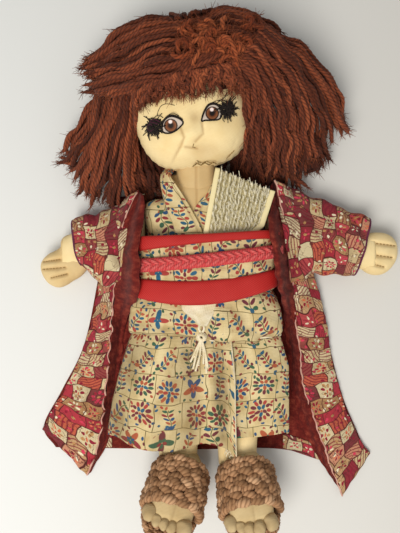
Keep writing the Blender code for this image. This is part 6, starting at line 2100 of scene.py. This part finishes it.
    def build(self) -> None:
        """Builds the back, both fronts and both sleeves from the photograph's outlines."""
        self.build_back()
        self.build_front("haori_front_right_cotton", "haori_front_right", [(126, 198, 26), (112, 222, 24),
            (104, 252, 18), (99, 284, 9), (92, 321, 5), (82, 350, 4), (69, 381, 4), (56, 404, 4), (48, 418, 3),
            (43, 429, 2.4)], [(138, 190, 37), (122.5, 226, 30), (116.5, 252, 24), (115, 284, 17), (112, 318, 13),
            (109.6, 353, 11), (106, 388, 10), (102, 424, 10), (96.5, 453, 6), (86.5, 475, 3)], [(143, 196, 42),
            (143.6, 222, 46.5), (139, 249, 53.4), (139.4, 291, 51), (127, 320, 6), (122, 353, 2), (117, 388, 2),
            (112, 422, 2), (105, 448, 2), (90, 472, 2)], SEED + 101)
        self.build_front("haori_front_left_cotton", "haori_front_left", [(290, 188, 26), (301, 214, 24),
            (307, 240, 20), (312, 262, 15), (318, 290, 8), (327.5, 330, 5), (335, 375, 4), (345, 407, 4),
            (356, 431, 3), (369.5, 453, 2.4)], [(275, 180, 38), (282.5, 212.5, 31), (287.5, 232.5, 28),
            (291, 257.5, 23), (293, 287.5, 17), (297, 330, 13), (302.5, 380, 11), (315, 420, 10), (327, 457, 8),
            (343, 495, 3)], [(270, 186, 34), (269.6, 206, 38), (268.6, 229, 53.6), (272.9, 255, 54.8),
            (278.4, 286, 50.6), (284, 320, 6), (289, 378, 2), (300, 420, 2), (317, 456, 2), (340, 491, 2)], SEED
            + 111)
        self.build_sleeve("right", [(146, 192), (134, 197), (123, 203), (110, 208), (97, 211.5), (84, 215.5),
            (73, 221)], [(128, 284), (121, 285), (113, 285), (104, 283), (95, 279.5), (88, 274.5), (82, 268)], SEED
            + 121)
        self.build_sleeve("left", [(272, 182), (285, 187), (300, 193), (317, 199), (334, 205), (352, 211.5),
            (369.5, 218)], [(289, 285), (297, 281), (305, 276.5), (315, 273.5), (328, 274), (341, 275.5), (353, 275)],
            SEED + 131)


@dataclass
class Arms:
    """Short calico arms with mitten hands, whose fingers are only sewn lines."""

    finishes: Finishes

    def build_hand(self, side: str, outline: list, middle: tuple, lines: list, mounds: list) -> None:
        """Builds a hand: its outline drawn in to a middle, rounded, and pressed in along its stitches.

        Args:
            side: The doll's own left or right.
            outline: Pixels of the hand's outline.
            middle: Pixel of its middle.
            lines: Pixel lines of the sewn fingers.
            mounds: Pixels of the fingers' soft parts.
        """
        edge = at_pixel(*np.moveaxis(loop(outline, 150), -1, 0), 15.0)
        centre = at_pixel(middle[0], middle[1], 15.0)
        a = np.linspace(0, math.pi, 92)[1:-1]
        away = np.sin(a) ** 0.72
        points = centre + (edge - centre)[None] * away[:, None, None]
        rise = np.sign(np.cos(a)) * np.abs(np.cos(a)) ** 0.8
        points[..., 2] = 14.5 + (rise * np.where(rise > 0, 9.0, 8.0))[:, None]
        px, py = pixel_of(points)
        press = sum(near_line(px, py, line, 2) for line in lines)
        full = sum(mound(px, py, place, (6.5, 5)) for place in mounds)
        flat = (1 - away ** 6)[:, None]
        points[..., 2] += (0.9 * full - 2.0 * press) * flat * np.sign(rise)[:, None]
        points[..., 2] += 0.2 * ripples(px, py, SEED + 141, 9) * flat
        weave = Weave()
        # The tint is painted shade along the sewn finger lines, over an even darkening of the whole hand, stronger on
        # the right hand.
        finger_shade = sum(near_line(px, py, line, 0.9) for line in lines)
        base_darkening = 0.35 if side == "right" else 0.12
        weave.grid(points, tint=np.clip(base_darkening + 0.4 * finger_shade * (rise > 0)[:, None], 0, 0.7), wrap=True, caps=True)
        sign = 1 if side == "left" else -1
        t = steps(50)
        c, s = ring(70, 2.2)
        x = sign * np.interp(t, [0, 0.35, 1], [49.5, 84, 140.0 if side == "left" else 117.0])
        y = np.interp(t, [0, 1], [29, 10.5 if side == "left" else 10.5])
        half = np.interp(t, [0, 0.2, 0.6, 1], [15, 19, 17, 14])
        arm = joint(x[:, None] + 0 * c, y[:, None] + half[:, None] * c, 15.6 + np.interp(t, [0, 0.3, 1],
            [10.5, 11.2, 8.8])[:, None] * s)
        weave.grid(arm, wrap=True, caps=True)
        for line in lines:
            start, stop = np.asarray(line[0], float), np.asarray(line[-1], float)
            for k in np.linspace(0.04, 0.96, 7):
                ends = start + (stop - start) * np.array([[k - 0.045], [k + 0.045]])
                mark = spline(np.stack((ends[0], ends.mean(axis=0), ends[1])), steps(7))
                high = self.height(points, mark)
                place = at_pixel(mark[:, 0], mark[:, 1], high)
                place[:, 2] += 0.25
                weave.tubes(place, 0.42, 6, tint=0.2, finish=1)
        piece = weave.sew(f"arm_{side}_calico", [self.finishes.skin, self.finishes.stitch], f"arm_{side}",
            "calico_skin", f"arm_{side}")

    def height(self, points: Array, pixels: Array) -> Array:
        """Height of the hand's front under pixels: that of the nearest point.

        Args:
            points: The hand's points.
            pixels: Pixels.

        Returns:
            Heights in mm.
        """
        front = points[: points.shape[0] // 2].reshape(-1, 3)
        px, py = pixel_of(front)
        gap = (px[None] - pixels[:, :1]) ** 2 + (py[None] - pixels[:, 1:]) ** 2
        return front[gap.argmin(axis=1), 2]

    def build(self) -> None:
        """Builds both arms from the hands' outlines in the photograph."""
        self.build_hand("right", [(84, 247), (77, 239), (71, 235), (65.5, 236), (62, 240), (61.5, 246), (57, 250),
            (49, 254), (43, 260), (41, 266.5), (42.5, 274), (47, 281.5), (53, 286), (60, 287.5), (67, 285), (73, 281),
            (80, 277), (85, 272), (92, 262), (92, 254)], (66, 262), [[(43.5, 262), (60, 259.5)],
            [(43, 269.5), (65, 267.5)], [(51, 278), (67, 274)]], [(52, 256.5), (50, 265), (54, 273.5), (62, 280),
            (70, 243)])
        self.build_hand("left", [(360, 236), (367, 233.5), (375, 232.5), (384, 233.2), (391, 236.5), (395.5, 242),
            (397, 249), (396.5, 257), (393.5, 264), (388, 270.5), (381, 274.5), (373, 275), (366, 272.5), (360, 268),
            (352, 264), (346, 254), (350, 242)], (374, 253), [[(373, 243), (395, 246)], [(370, 254.5), (392, 257.5)],
            [(365, 262), (384, 267)]], [(386, 239.5), (385, 250), (381, 260.5), (375, 269)])


@dataclass
class Legs:
    """Calico legs and toned feet with sewn toes."""

    finishes: Finishes
    heel_y: float = -163.0
    heel_z: float = 9.3
    pitch: float = math.radians(45)
    places: dict = field(default_factory=lambda: {"left": (32, math.radians(8)), "right": (-18, math.radians(-17))})

    def stand(self, points: Array, side: str) -> Array:
        """Turns points of the foot's own frame, heel to toe along Y, into the doll's frame.

        Args:
            points: Points in mm.
            side: The doll's own left or right.

        Returns:
            Points in mm.
        """
        x0, turn = self.places[side]
        x, y, z = points[..., 0], points[..., 1], points[..., 2]
        cp, sp = math.cos(self.pitch), math.sin(self.pitch)
        y, z = y * cp - z * sp, y * sp + z * cp
        ct, st = math.cos(math.pi + turn), math.sin(math.pi + turn)
        return joint(x0 + x * ct - y * st, self.heel_y + x * st + y * ct, self.heel_z + z)

    def build(self) -> None:
        """Builds both legs and both feet."""
        for side in ("left", "right"):
            self.build_leg(side)
            self.build_foot(side)

    def build_leg(self, side: str) -> None:
        """Builds a leg: round sections from the hip to the heel, in the space of its solid.

        Args:
            side: The doll's own left or right.
        """
        low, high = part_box(f"leg_{side}")
        lo, hi = np.array(low) / MM, np.array(high) / MM
        t = steps(70)
        c, s = ring(80, 2.2)
        y = hi[1] + (lo[1] - hi[1]) * t
        middle = (lo[0] + hi[0]) / 2
        half = (hi[0] - lo[0]) / 2 * np.interp(t, [0, 0.1, 0.4, 0.8, 1], [0.86, 0.96, 0.98, 0.76, 0.7])
        mid = (lo[2] + hi[2]) / 2
        rise = (hi[2] - lo[2]) / 2 * np.interp(t, [0, 0.1, 0.4, 0.8, 1], [0.8, 0.94, 0.98, 0.84, 0.78])
        x = middle + half[:, None] * c
        z = mid + rise[:, None] * s
        weave = Weave()
        shade = 0.06 + 0.12 * np.clip(t - 0.6, 0, 1)[:, None] + 0 * x
        weave.grid(joint(x, y[:, None], z), tint=shade, wrap=True, caps=True)
        leg = weave.sew(f"leg_{side}_calico", [self.finishes.skin], f"leg_{side}", "calico_skin", f"leg_{side}")

    def build_foot(self, side: str) -> None:
        """Builds a foot: sections from heel to toe, a seam along its top, and toes as small stuffed rounds.

        Args:
            side: The doll's own left or right.
        """
        t = steps(60)
        c, s = ring(80, 2.5)
        half = np.interp(t, [0, 0.12, 0.4, 0.75, 0.94, 1], [11, 15, 17, 18, 16.5, 12])
        top = np.interp(t, [0, 0.12, 0.4, 0.75, 0.94, 1], [20, 23.5, 24, 19.5, 14, 9])
        y = 0.8 + 57.0 * t
        x = half[:, None] * c
        z = top[:, None] / 2 * (1 + s) + 0.4
        seam = np.exp(-((x + 1.0) / 0.7) ** 2) * (s > 0)
        z = z - 0.7 * seam
        weave = Weave()
        points = joint(x, y[:, None], z)
        # The tint is painted shade in the seam's groove along the top.
        weave.grid(self.stand(points, side), tint=np.clip(0.3 * seam + 0 * x, 0, 1), wrap=True, caps=True)
        toes = ((-13.6, 57, 6, 6.4), (-4.4, 59.4, 5, 5.6), (3.4, 59, 4.4, 5.2), (9.6, 57.4, 4.2, 5),
            (16.6, 54, 5.4, 6.6))
        if side == "right":
            toes = ((-12.2, 57.4, 6.6, 6.4), (-3, 58.6, 4, 5.6), (3.4, 58.2, 4, 5.6), (9.6, 57, 4.2, 5.4),
                (16, 53, 5.8, 7))
        a = np.linspace(0, math.pi, 26)[1:-1]
        cc, ss = ring(34, 2.2)
        rng = np.random.default_rng(SEED + 151)
        for tx, ty, radius, length in toes:
            wide = radius * np.sin(a)[:, None]
            toe = joint(tx + wide * cc, ty - length * np.cos(a)[:, None] * -1 + 0 * wide * cc, 7.6 + wide * 1.2 * ss
                + 1.0)
            toe = toe + 0.35 * ripples(toe[..., 0], toe[..., 1], int(rng.integers(1, 999)), 7)[..., None]
            # Painted shade on a band round each toe's widest part, where the toes press together.
            shade = 0.15 + 0.3 * np.clip(1 - np.abs(a - 1.2)[:, None], 0, 1) + 0 * wide * cc
            weave.grid(self.stand(toe, side), tint=np.clip(shade, 0, 1), wrap=True, caps=True)
        foot = weave.sew(f"foot_{side}_calico", [self.finishes.feet], f"leg_{side}", "tanned_calico", f"foot_{side}")


@dataclass
class Sandals:
    """Crochet sandals: a sole of stitched rounds, and a wide strap of chunky rows over the foot."""

    finishes: Finishes
    legs: Legs
    length: float = 75.5
    half_width: float = 23.4
    heel: float = -5.4
    strap_start: float = 14.0
    strap_width: float = 32.0

    def stitch(self, weave: Weave, points: Array, radius: float, puff: float, seed: int, back: float) -> None:
        """Adds one crochet stitch a cell of a surface: two slanted arms that bulge out and meet in a V.

        Args:
            weave: Gathers them.
            points: The surface, in rows of stitches.
            radius: The yarn's radius in mm.
            puff: Height of the bulge in mm.
            seed: Seed of the unevenness.
            back: Which way the surface's normals point, 1 or -1.
        """
        rng = np.random.default_rng(seed)
        rows, cols = points.shape[:2]
        away = normals_of(points) * back
        t = steps(8)
        for arm in (-0.42, 0.42):
            r = np.arange(rows)[:, None, None] + arm * (1 - t)[None, None] + rng.normal(0, 0.07, (rows, cols - 1, 1))
            stagger = 0.5 * (np.arange(rows) % 2)[:, None, None]
            q = np.arange(cols - 1)[None, :, None] + stagger + 0.02 + 0.98 * t[None, None]
            r, q = np.clip(r, 0, rows - 1.001), np.clip(q, 0, cols - 1.001)
            i, j = r.astype(int), q.astype(int)
            f, g = (r - i)[..., None], (q - j)[..., None]
            place = (points[i, j] * (1 - f) + points[i + 1, j] * f) * (1 - g) + (points[i, j + 1] * (1 - f)
                + points[i + 1, j + 1] * f) * g
            lift = (puff * np.sin(math.pi * (0.1 + 0.8 * t)) + rng.uniform(-0.4, 0.5, (rows, cols - 1, 1)))[..., None]
            paths = (place + away[i, j] * lift).reshape(-1, 8, 3)
            reach = np.linalg.norm(paths[:, -1] - paths[:, 0], axis=1)
            paths = paths[reach > 1.6]
            plump = radius * rng.uniform(0.85, 1.12, (len(paths), 1)) * (0.72 + 0.34 * np.sin(math.pi * t)[None])
            weave.tubes(paths, plump, 8, lobes=3, depth=0.13, pitch=9.0, tint=rng.uniform(0.2, 0.9, len(paths)))
            n = len(paths) * (7 if puff > 0.5 else 1)
            which, at = rng.integers(0, len(paths), n), rng.integers(1, 7, n)
            out = rng.normal(0, 1, (n, 1, 3))
            out = out / np.linalg.norm(out, axis=-1, keepdims=True)
            stand = out * (radius * 0.7 + np.linspace(0.0, 1.5, 2)[None, :, None])
            weave.tubes(paths[which, at][:, None] + stand, 0.18, 3, tint=0.9)

    def build(self) -> None:
        """Builds both sandals."""
        for side in ("left", "right"):
            self.build_sole(side)
            self.build_strap(side)

    def outline(self, count: int, inset: float) -> Array:
        """Sole's outline: an oval a little wider at the toes.

        Args:
            count: Points asked for.
            inset: Distance inwards in mm.

        Returns:
            Points in the foot's frame, with two numbers each.
        """
        c, s = ring(count, 2.35)
        y = self.heel + self.length / 2 + (self.length / 2 - inset) * s
        x = (self.half_width - inset) * c * (1.0 - 0.07 * (1 - s) / 2)
        return joint(x, y)

    def build_sole(self, side: str) -> None:
        """Builds a sole: a core slab with rows of stitches round its rim and over both faces.

        Args:
            side: The doll's own left or right.
        """
        weave = Weave()
        a = np.linspace(0, math.pi, 22)[1:-1]
        edge = self.outline(120, 2.4)
        middle = edge.mean(axis=0)
        away = np.sin(a) ** 0.4
        flat = middle + (edge - middle)[None] * away[:, None, None]
        high = -3.2 + 1.9 * np.sign(np.cos(a)) * np.abs(np.cos(a)) ** 0.6
        core = np.concatenate([flat, (high[:, None] + 0 * flat[..., 0])[..., None]], axis=-1)
        # The core's darker tone is painted shade that shows between the stitches.
        weave.grid(self.legs.stand(core, side), tint=0.25, wrap=True, caps=True)
        count = 36
        rim = [np.concatenate([self.outline(count, inset), np.full((count, 1), z)], axis=-1) for inset, z
            in ((3, -5.6), (1.4, -4.2), (1.2, -2.6), (2.2, -1.2))]
        ring_rows = np.stack(rim)
        ring_rows = np.concatenate([ring_rows, ring_rows[:, :2]], axis=1)
        self.stitch(weave, self.legs.stand(ring_rows, side), 1.8, 0.6, SEED + 161, self.facing(ring_rows, middle))
        for z, sign in ((-1.4, 1), (-5, -1)):
            rounds = np.stack([np.concatenate([self.outline(24, inset), np.full((24, 1), z)], axis=-1) for inset
                in (4, 9, 14, 19)])
            rounds = np.concatenate([rounds, rounds[:, :2]], axis=1)
            turned = self.legs.stand(rounds, side)
            up = self.legs.stand(np.array([[0, 0, 0], [0, 0, 1]]), side)
            lean = np.sign((normals_of(turned) * (up[1] - up[0])).sum(axis=-1).mean())
            self.stitch(weave, turned, 1.5, 0.2, SEED + 163, lean * sign)
        weave.sew(f"sandal_sole_{side}_crochet", [self.finishes.crochet], f"sandal_{side}", "tan_crochet",
            f"sandal_sole_{side}")

    def facing(self, rows: Array, middle: Array) -> float:
        """Which way a rim's normals point: 1 outwards, -1 inwards."""
        out = rows[..., :2] - middle
        return float(np.sign((normals_of(rows)[..., :2] * out).sum(axis=-1).mean()))

    def build_strap(self, side: str) -> None:
        """Builds a strap: an arch of cloth over the foot with five rows of stitches on it.

        Args:
            side: The doll's own left or right.
        """
        def arch(rows: int, cols: int, over: float) -> Array:
            """Arch over the foot, in rows along its width.

            Args:
                rows: Rows.
                cols: Columns.
                over: Distance out from the foot in mm.

            Returns:
                Points in the foot's frame.
            """
            t = steps(rows)[:, None]
            angle = np.linspace(math.pi + 0.02, -0.02, cols)[None]
            c, s = squarish(angle + 0 * t, 2.5)
            y = self.strap_start + self.strap_width * t + 0 * c
            half = np.interp(y, [12, 30, 48], [18, 19.2, 19.8]) + over
            top = np.interp(y, [12, 30, 48], [25.4, 24.6, 22]) + over
            return joint(half * c, y, -0.6 + (top + 0.6) * np.maximum(s, 0))
        weave = Weave()
        # The strap cloth's darker tone is painted shade that shows between the stitches.
        weave.cloth(self.legs.stand(arch(30, 70, 1.2), side), 1.4, tint=0.15)
        raw = arch(5, 9, 1.6)
        lean = float(np.sign((normals_of(raw)[..., 2])[:, 4].mean()))
        self.stitch(weave, self.legs.stand(raw, side), 3.2, 2.0, SEED + 171, lean)
        edge = self.legs.stand(arch(7, 60, 2.4), side)
        bobble = 1.35 + 0.85 * np.abs(np.sin(np.linspace(0, 11 * math.pi, 60)))
        for row in (0, -1):
            weave.tubes(edge[row], bobble, 10, lobes=3, depth=0.14, pitch=6.0, tint=0.5)
        weave.sew(f"sandal_strap_{side}_crochet", [self.finishes.crochet], f"sandal_{side}", "tan_crochet",
            f"sandal_strap_{side}")


@dataclass
class Fan:
    """Folding fan tucked in the sash: twelve frayed pleats between two bamboo guards."""

    finishes: Finishes
    pleats: int = 12
    left_foot: tuple = (44.5, 32.5)
    left_tip: tuple = (53, 59.6)
    right_foot: tuple = (0.6, 26.4)
    right_tip: tuple = (9.8, 76)

    def place(self, u: Array, t: Array) -> Array:
        """Place on the fan: across from the right guard to the left, and from the sash to the tips.

        The feet and the tips join in straight lines, and the height is the fan's own slope.

        Args:
            u: Share across.
            t: Share along, below zero inside the sash.

        Returns:
            Points in mm.
        """
        foot = np.asarray(self.right_foot) + u[..., None] * (np.asarray(self.left_foot) - np.asarray(self.right_foot))
        tip = np.asarray(self.right_tip) + u[..., None] * (np.asarray(self.left_tip) - np.asarray(self.right_tip))
        middle = np.asarray((22.5, 29.5))
        under = middle + (foot - middle) * 0.62 - (tip - foot) * 0.30
        up = foot + (tip - foot) * np.clip(t, 0, 2)[..., None]
        down = foot + (under - foot) * np.clip(-t, 0, 1)[..., None]
        flat = np.where((t >= 0)[..., None], up, down)
        z = 46.8 + 0.080 * (flat[..., 1] - 26.2) - 0.130 * flat[..., 0]
        return np.concatenate([flat, z[..., None]], axis=-1)

    def build(self) -> None:
        """Builds the pleated leaf with its frayed ridges, and the guards as flattened bars."""
        rows, per = 90, 12
        cols = self.pleats * per + 1
        u = np.linspace(0.03, 0.97, cols)[None] + np.zeros((rows, 1))
        t = np.linspace(-0.9, 1.0, rows)[:, None] + np.zeros((1, cols))
        rng = np.random.default_rng(SEED + 181)
        phase = np.linspace(0, self.pleats, cols)
        phase = phase + 0.32 * ripples(phase * 9.0, 0 * phase, SEED + 189, 21)
        saw = 1 - 2 * np.abs(2 * (phase % 1) - 1)
        points = self.place(u, t)
        inside = np.clip((t + 0.15) / 0.3, 0, 1)
        depth = 0.35 + (0.85 + 0.4 * np.clip(t, 0, 1)) * inside
        rough = ripples(points[..., 0] * 2.2, points[..., 1] * 0.9, SEED + 183, 5, 9)
        grit = ripples(points[..., 0] * 2.0, points[..., 1] * 0.7, SEED + 185, 2.8, 9)
        points[..., 2] += saw[None] * depth + inside * (0.6 * rough + 0.4 * grit)
        points[..., 0] += 0.4 * ripples(points[..., 1] * 2, points[..., 0], SEED + 187, 11) * inside
        crest = np.clip(saw, 0, 1)[None] ** 2
        end = np.clip((t - 0.9) / 0.1, 0, 1)
        points[..., 1] += end * (1.6 * crest - 0.6 + rng.normal(0, 0.35, (1, cols)))
        weave = Weave()
        # The tint is one on the pleats' ridges: their pale is partly frayed fibre and partly painted highlight.
        weave.cloth(points, 0.55, tint=np.clip(0.75 * crest + 0.3 * rough - 0.1, 0, 1))
        start_u = np.repeat((np.arange(self.pleats) + 0.5) / self.pleats * 0.94 + 0.03, 26)
        start_u = start_u + rng.normal(0, 0.009, len(start_u))
        start_t = rng.uniform(0.05, 1.02, len(start_u))
        root = self.place(start_u, start_t)
        root[:, 2] += 1.5
        k = steps(6)[None, :, None]
        heading = rng.normal(0, 1, (len(root), 1, 3)) * np.array([0.55, 1.6, 0.3]) + np.array([0, 0.4, 0.45])
        lines = root[:, None] + heading * k * rng.uniform(0.8, 2.0, (len(root), 1, 1))
        weave.tubes(lines, 0.3, 4, tint=0.8)
        weave.sew("fan_leaf_paper", [self.finishes.paper], "fan", "cream_paper", "fan_leaf")
        for name, node, side, wide in (("fan_guard_right_bamboo", "fan_guard_right", 0, 2.1),
                ("fan_guard_left_bamboo", "fan_guard_left", 1, 2.3)):
            along = np.linspace(-1.0, 1.0, 60)
            path = self.place(np.full(60, side), along)
            path[:, 2] += 0.4
            c, s = ring(26, 4.5)
            ahead = np.gradient(path, axis=0)
            ahead = ahead / np.linalg.norm(ahead, axis=1, keepdims=True)
            across = np.cross(ahead, np.array([0, 0, 1]))
            half = np.interp(along, [-1, 0, 1], [0.85 * wide, wide, wide * 0.95])
            bar = path[:, None] + across[:, None] * (half[:, None] * c)[..., None]
            bar[..., 2] += 1.35 * s
            guard = Weave()
            guard.grid(bar, wrap=True, caps=True)
            guard.sew(name, [self.finishes.bamboo], "fan", "pale_bamboo", node)


@dataclass
class Studio:
    """Pale sheet, soft light from the upper left and a camera straight above."""

    finishes: Finishes
    world_light: float = 0.445
    key_power: float = 9.0
    key_place: tuple = (-0.24, -0.44, 0.94)
    key_size: float = 0.55

    def build(self) -> None:
        """Lays the sheet, hangs the lamps and sets the camera."""
        weave = Weave()
        side = np.linspace(-2500, 2500, 9)
        x, y = np.meshgrid(side, side)
        weave.grid(joint(x, y, 0 * x - 0.05)[::-1])
        floor = weave.make("ground_sheet", [self.finishes.sheet], mend=False)
        world = bpy.data.worlds.new("studio")
        world.use_nodes = True
        world.node_tree.nodes["Background"].inputs["Color"].default_value = linear("#f4f3f0")
        world.node_tree.nodes["Background"].inputs["Strength"].default_value = self.world_light
        bpy.context.scene.world = world
        lamp = bpy.data.lights.new("window", "AREA")
        lamp.energy = self.key_power
        lamp.size = self.key_size
        lamp.color = linear("#fff9f0")[:3]
        key = bpy.data.objects.new("window", lamp)
        key.location = self.key_place
        key.rotation_euler = (-key.location).to_track_quat("-Z", "Y").to_euler()
        bpy.context.scene.collection.objects.link(key)
        lens = bpy.data.cameras.new("camera")
        lens.sensor_fit = "VERTICAL"
        lens.sensor_height = 36.0
        half = math.atan(CENTRE_PIXEL[1] * GROUND_SCALE / CAMERA_HEIGHT)
        lens.lens = 18.0 / math.tan(half)
        lens.clip_start = 0.01
        camera = bpy.data.objects.new("camera", lens)
        camera.location = (CENTRE_SHIFT * MM, 0, CAMERA_HEIGHT * MM)
        bpy.context.scene.collection.objects.link(camera)
        bpy.context.scene.camera = camera
        bpy.context.scene.view_settings.view_transform = "Standard"


def main() -> None:
    """Builds the studio, then the doll from its body outwards."""
    logging.basicConfig(level=logging.INFO, format="%(message)s")
    finishes = Finishes()
    Studio(finishes).build()
    Body(finishes).build()
    head = Head(finishes)
    head.build()
    Eyes(finishes, head).build()
    Hair(finishes, head).build()
    Kimono(finishes).build()
    Obi(finishes).build()
    Haori(finishes).build()
    Arms(finishes).build()
    legs = Legs(finishes)
    legs.build()
    Sandals(finishes, legs).build()
    Fan(finishes).build()


if __name__ == "__main__":
    main()
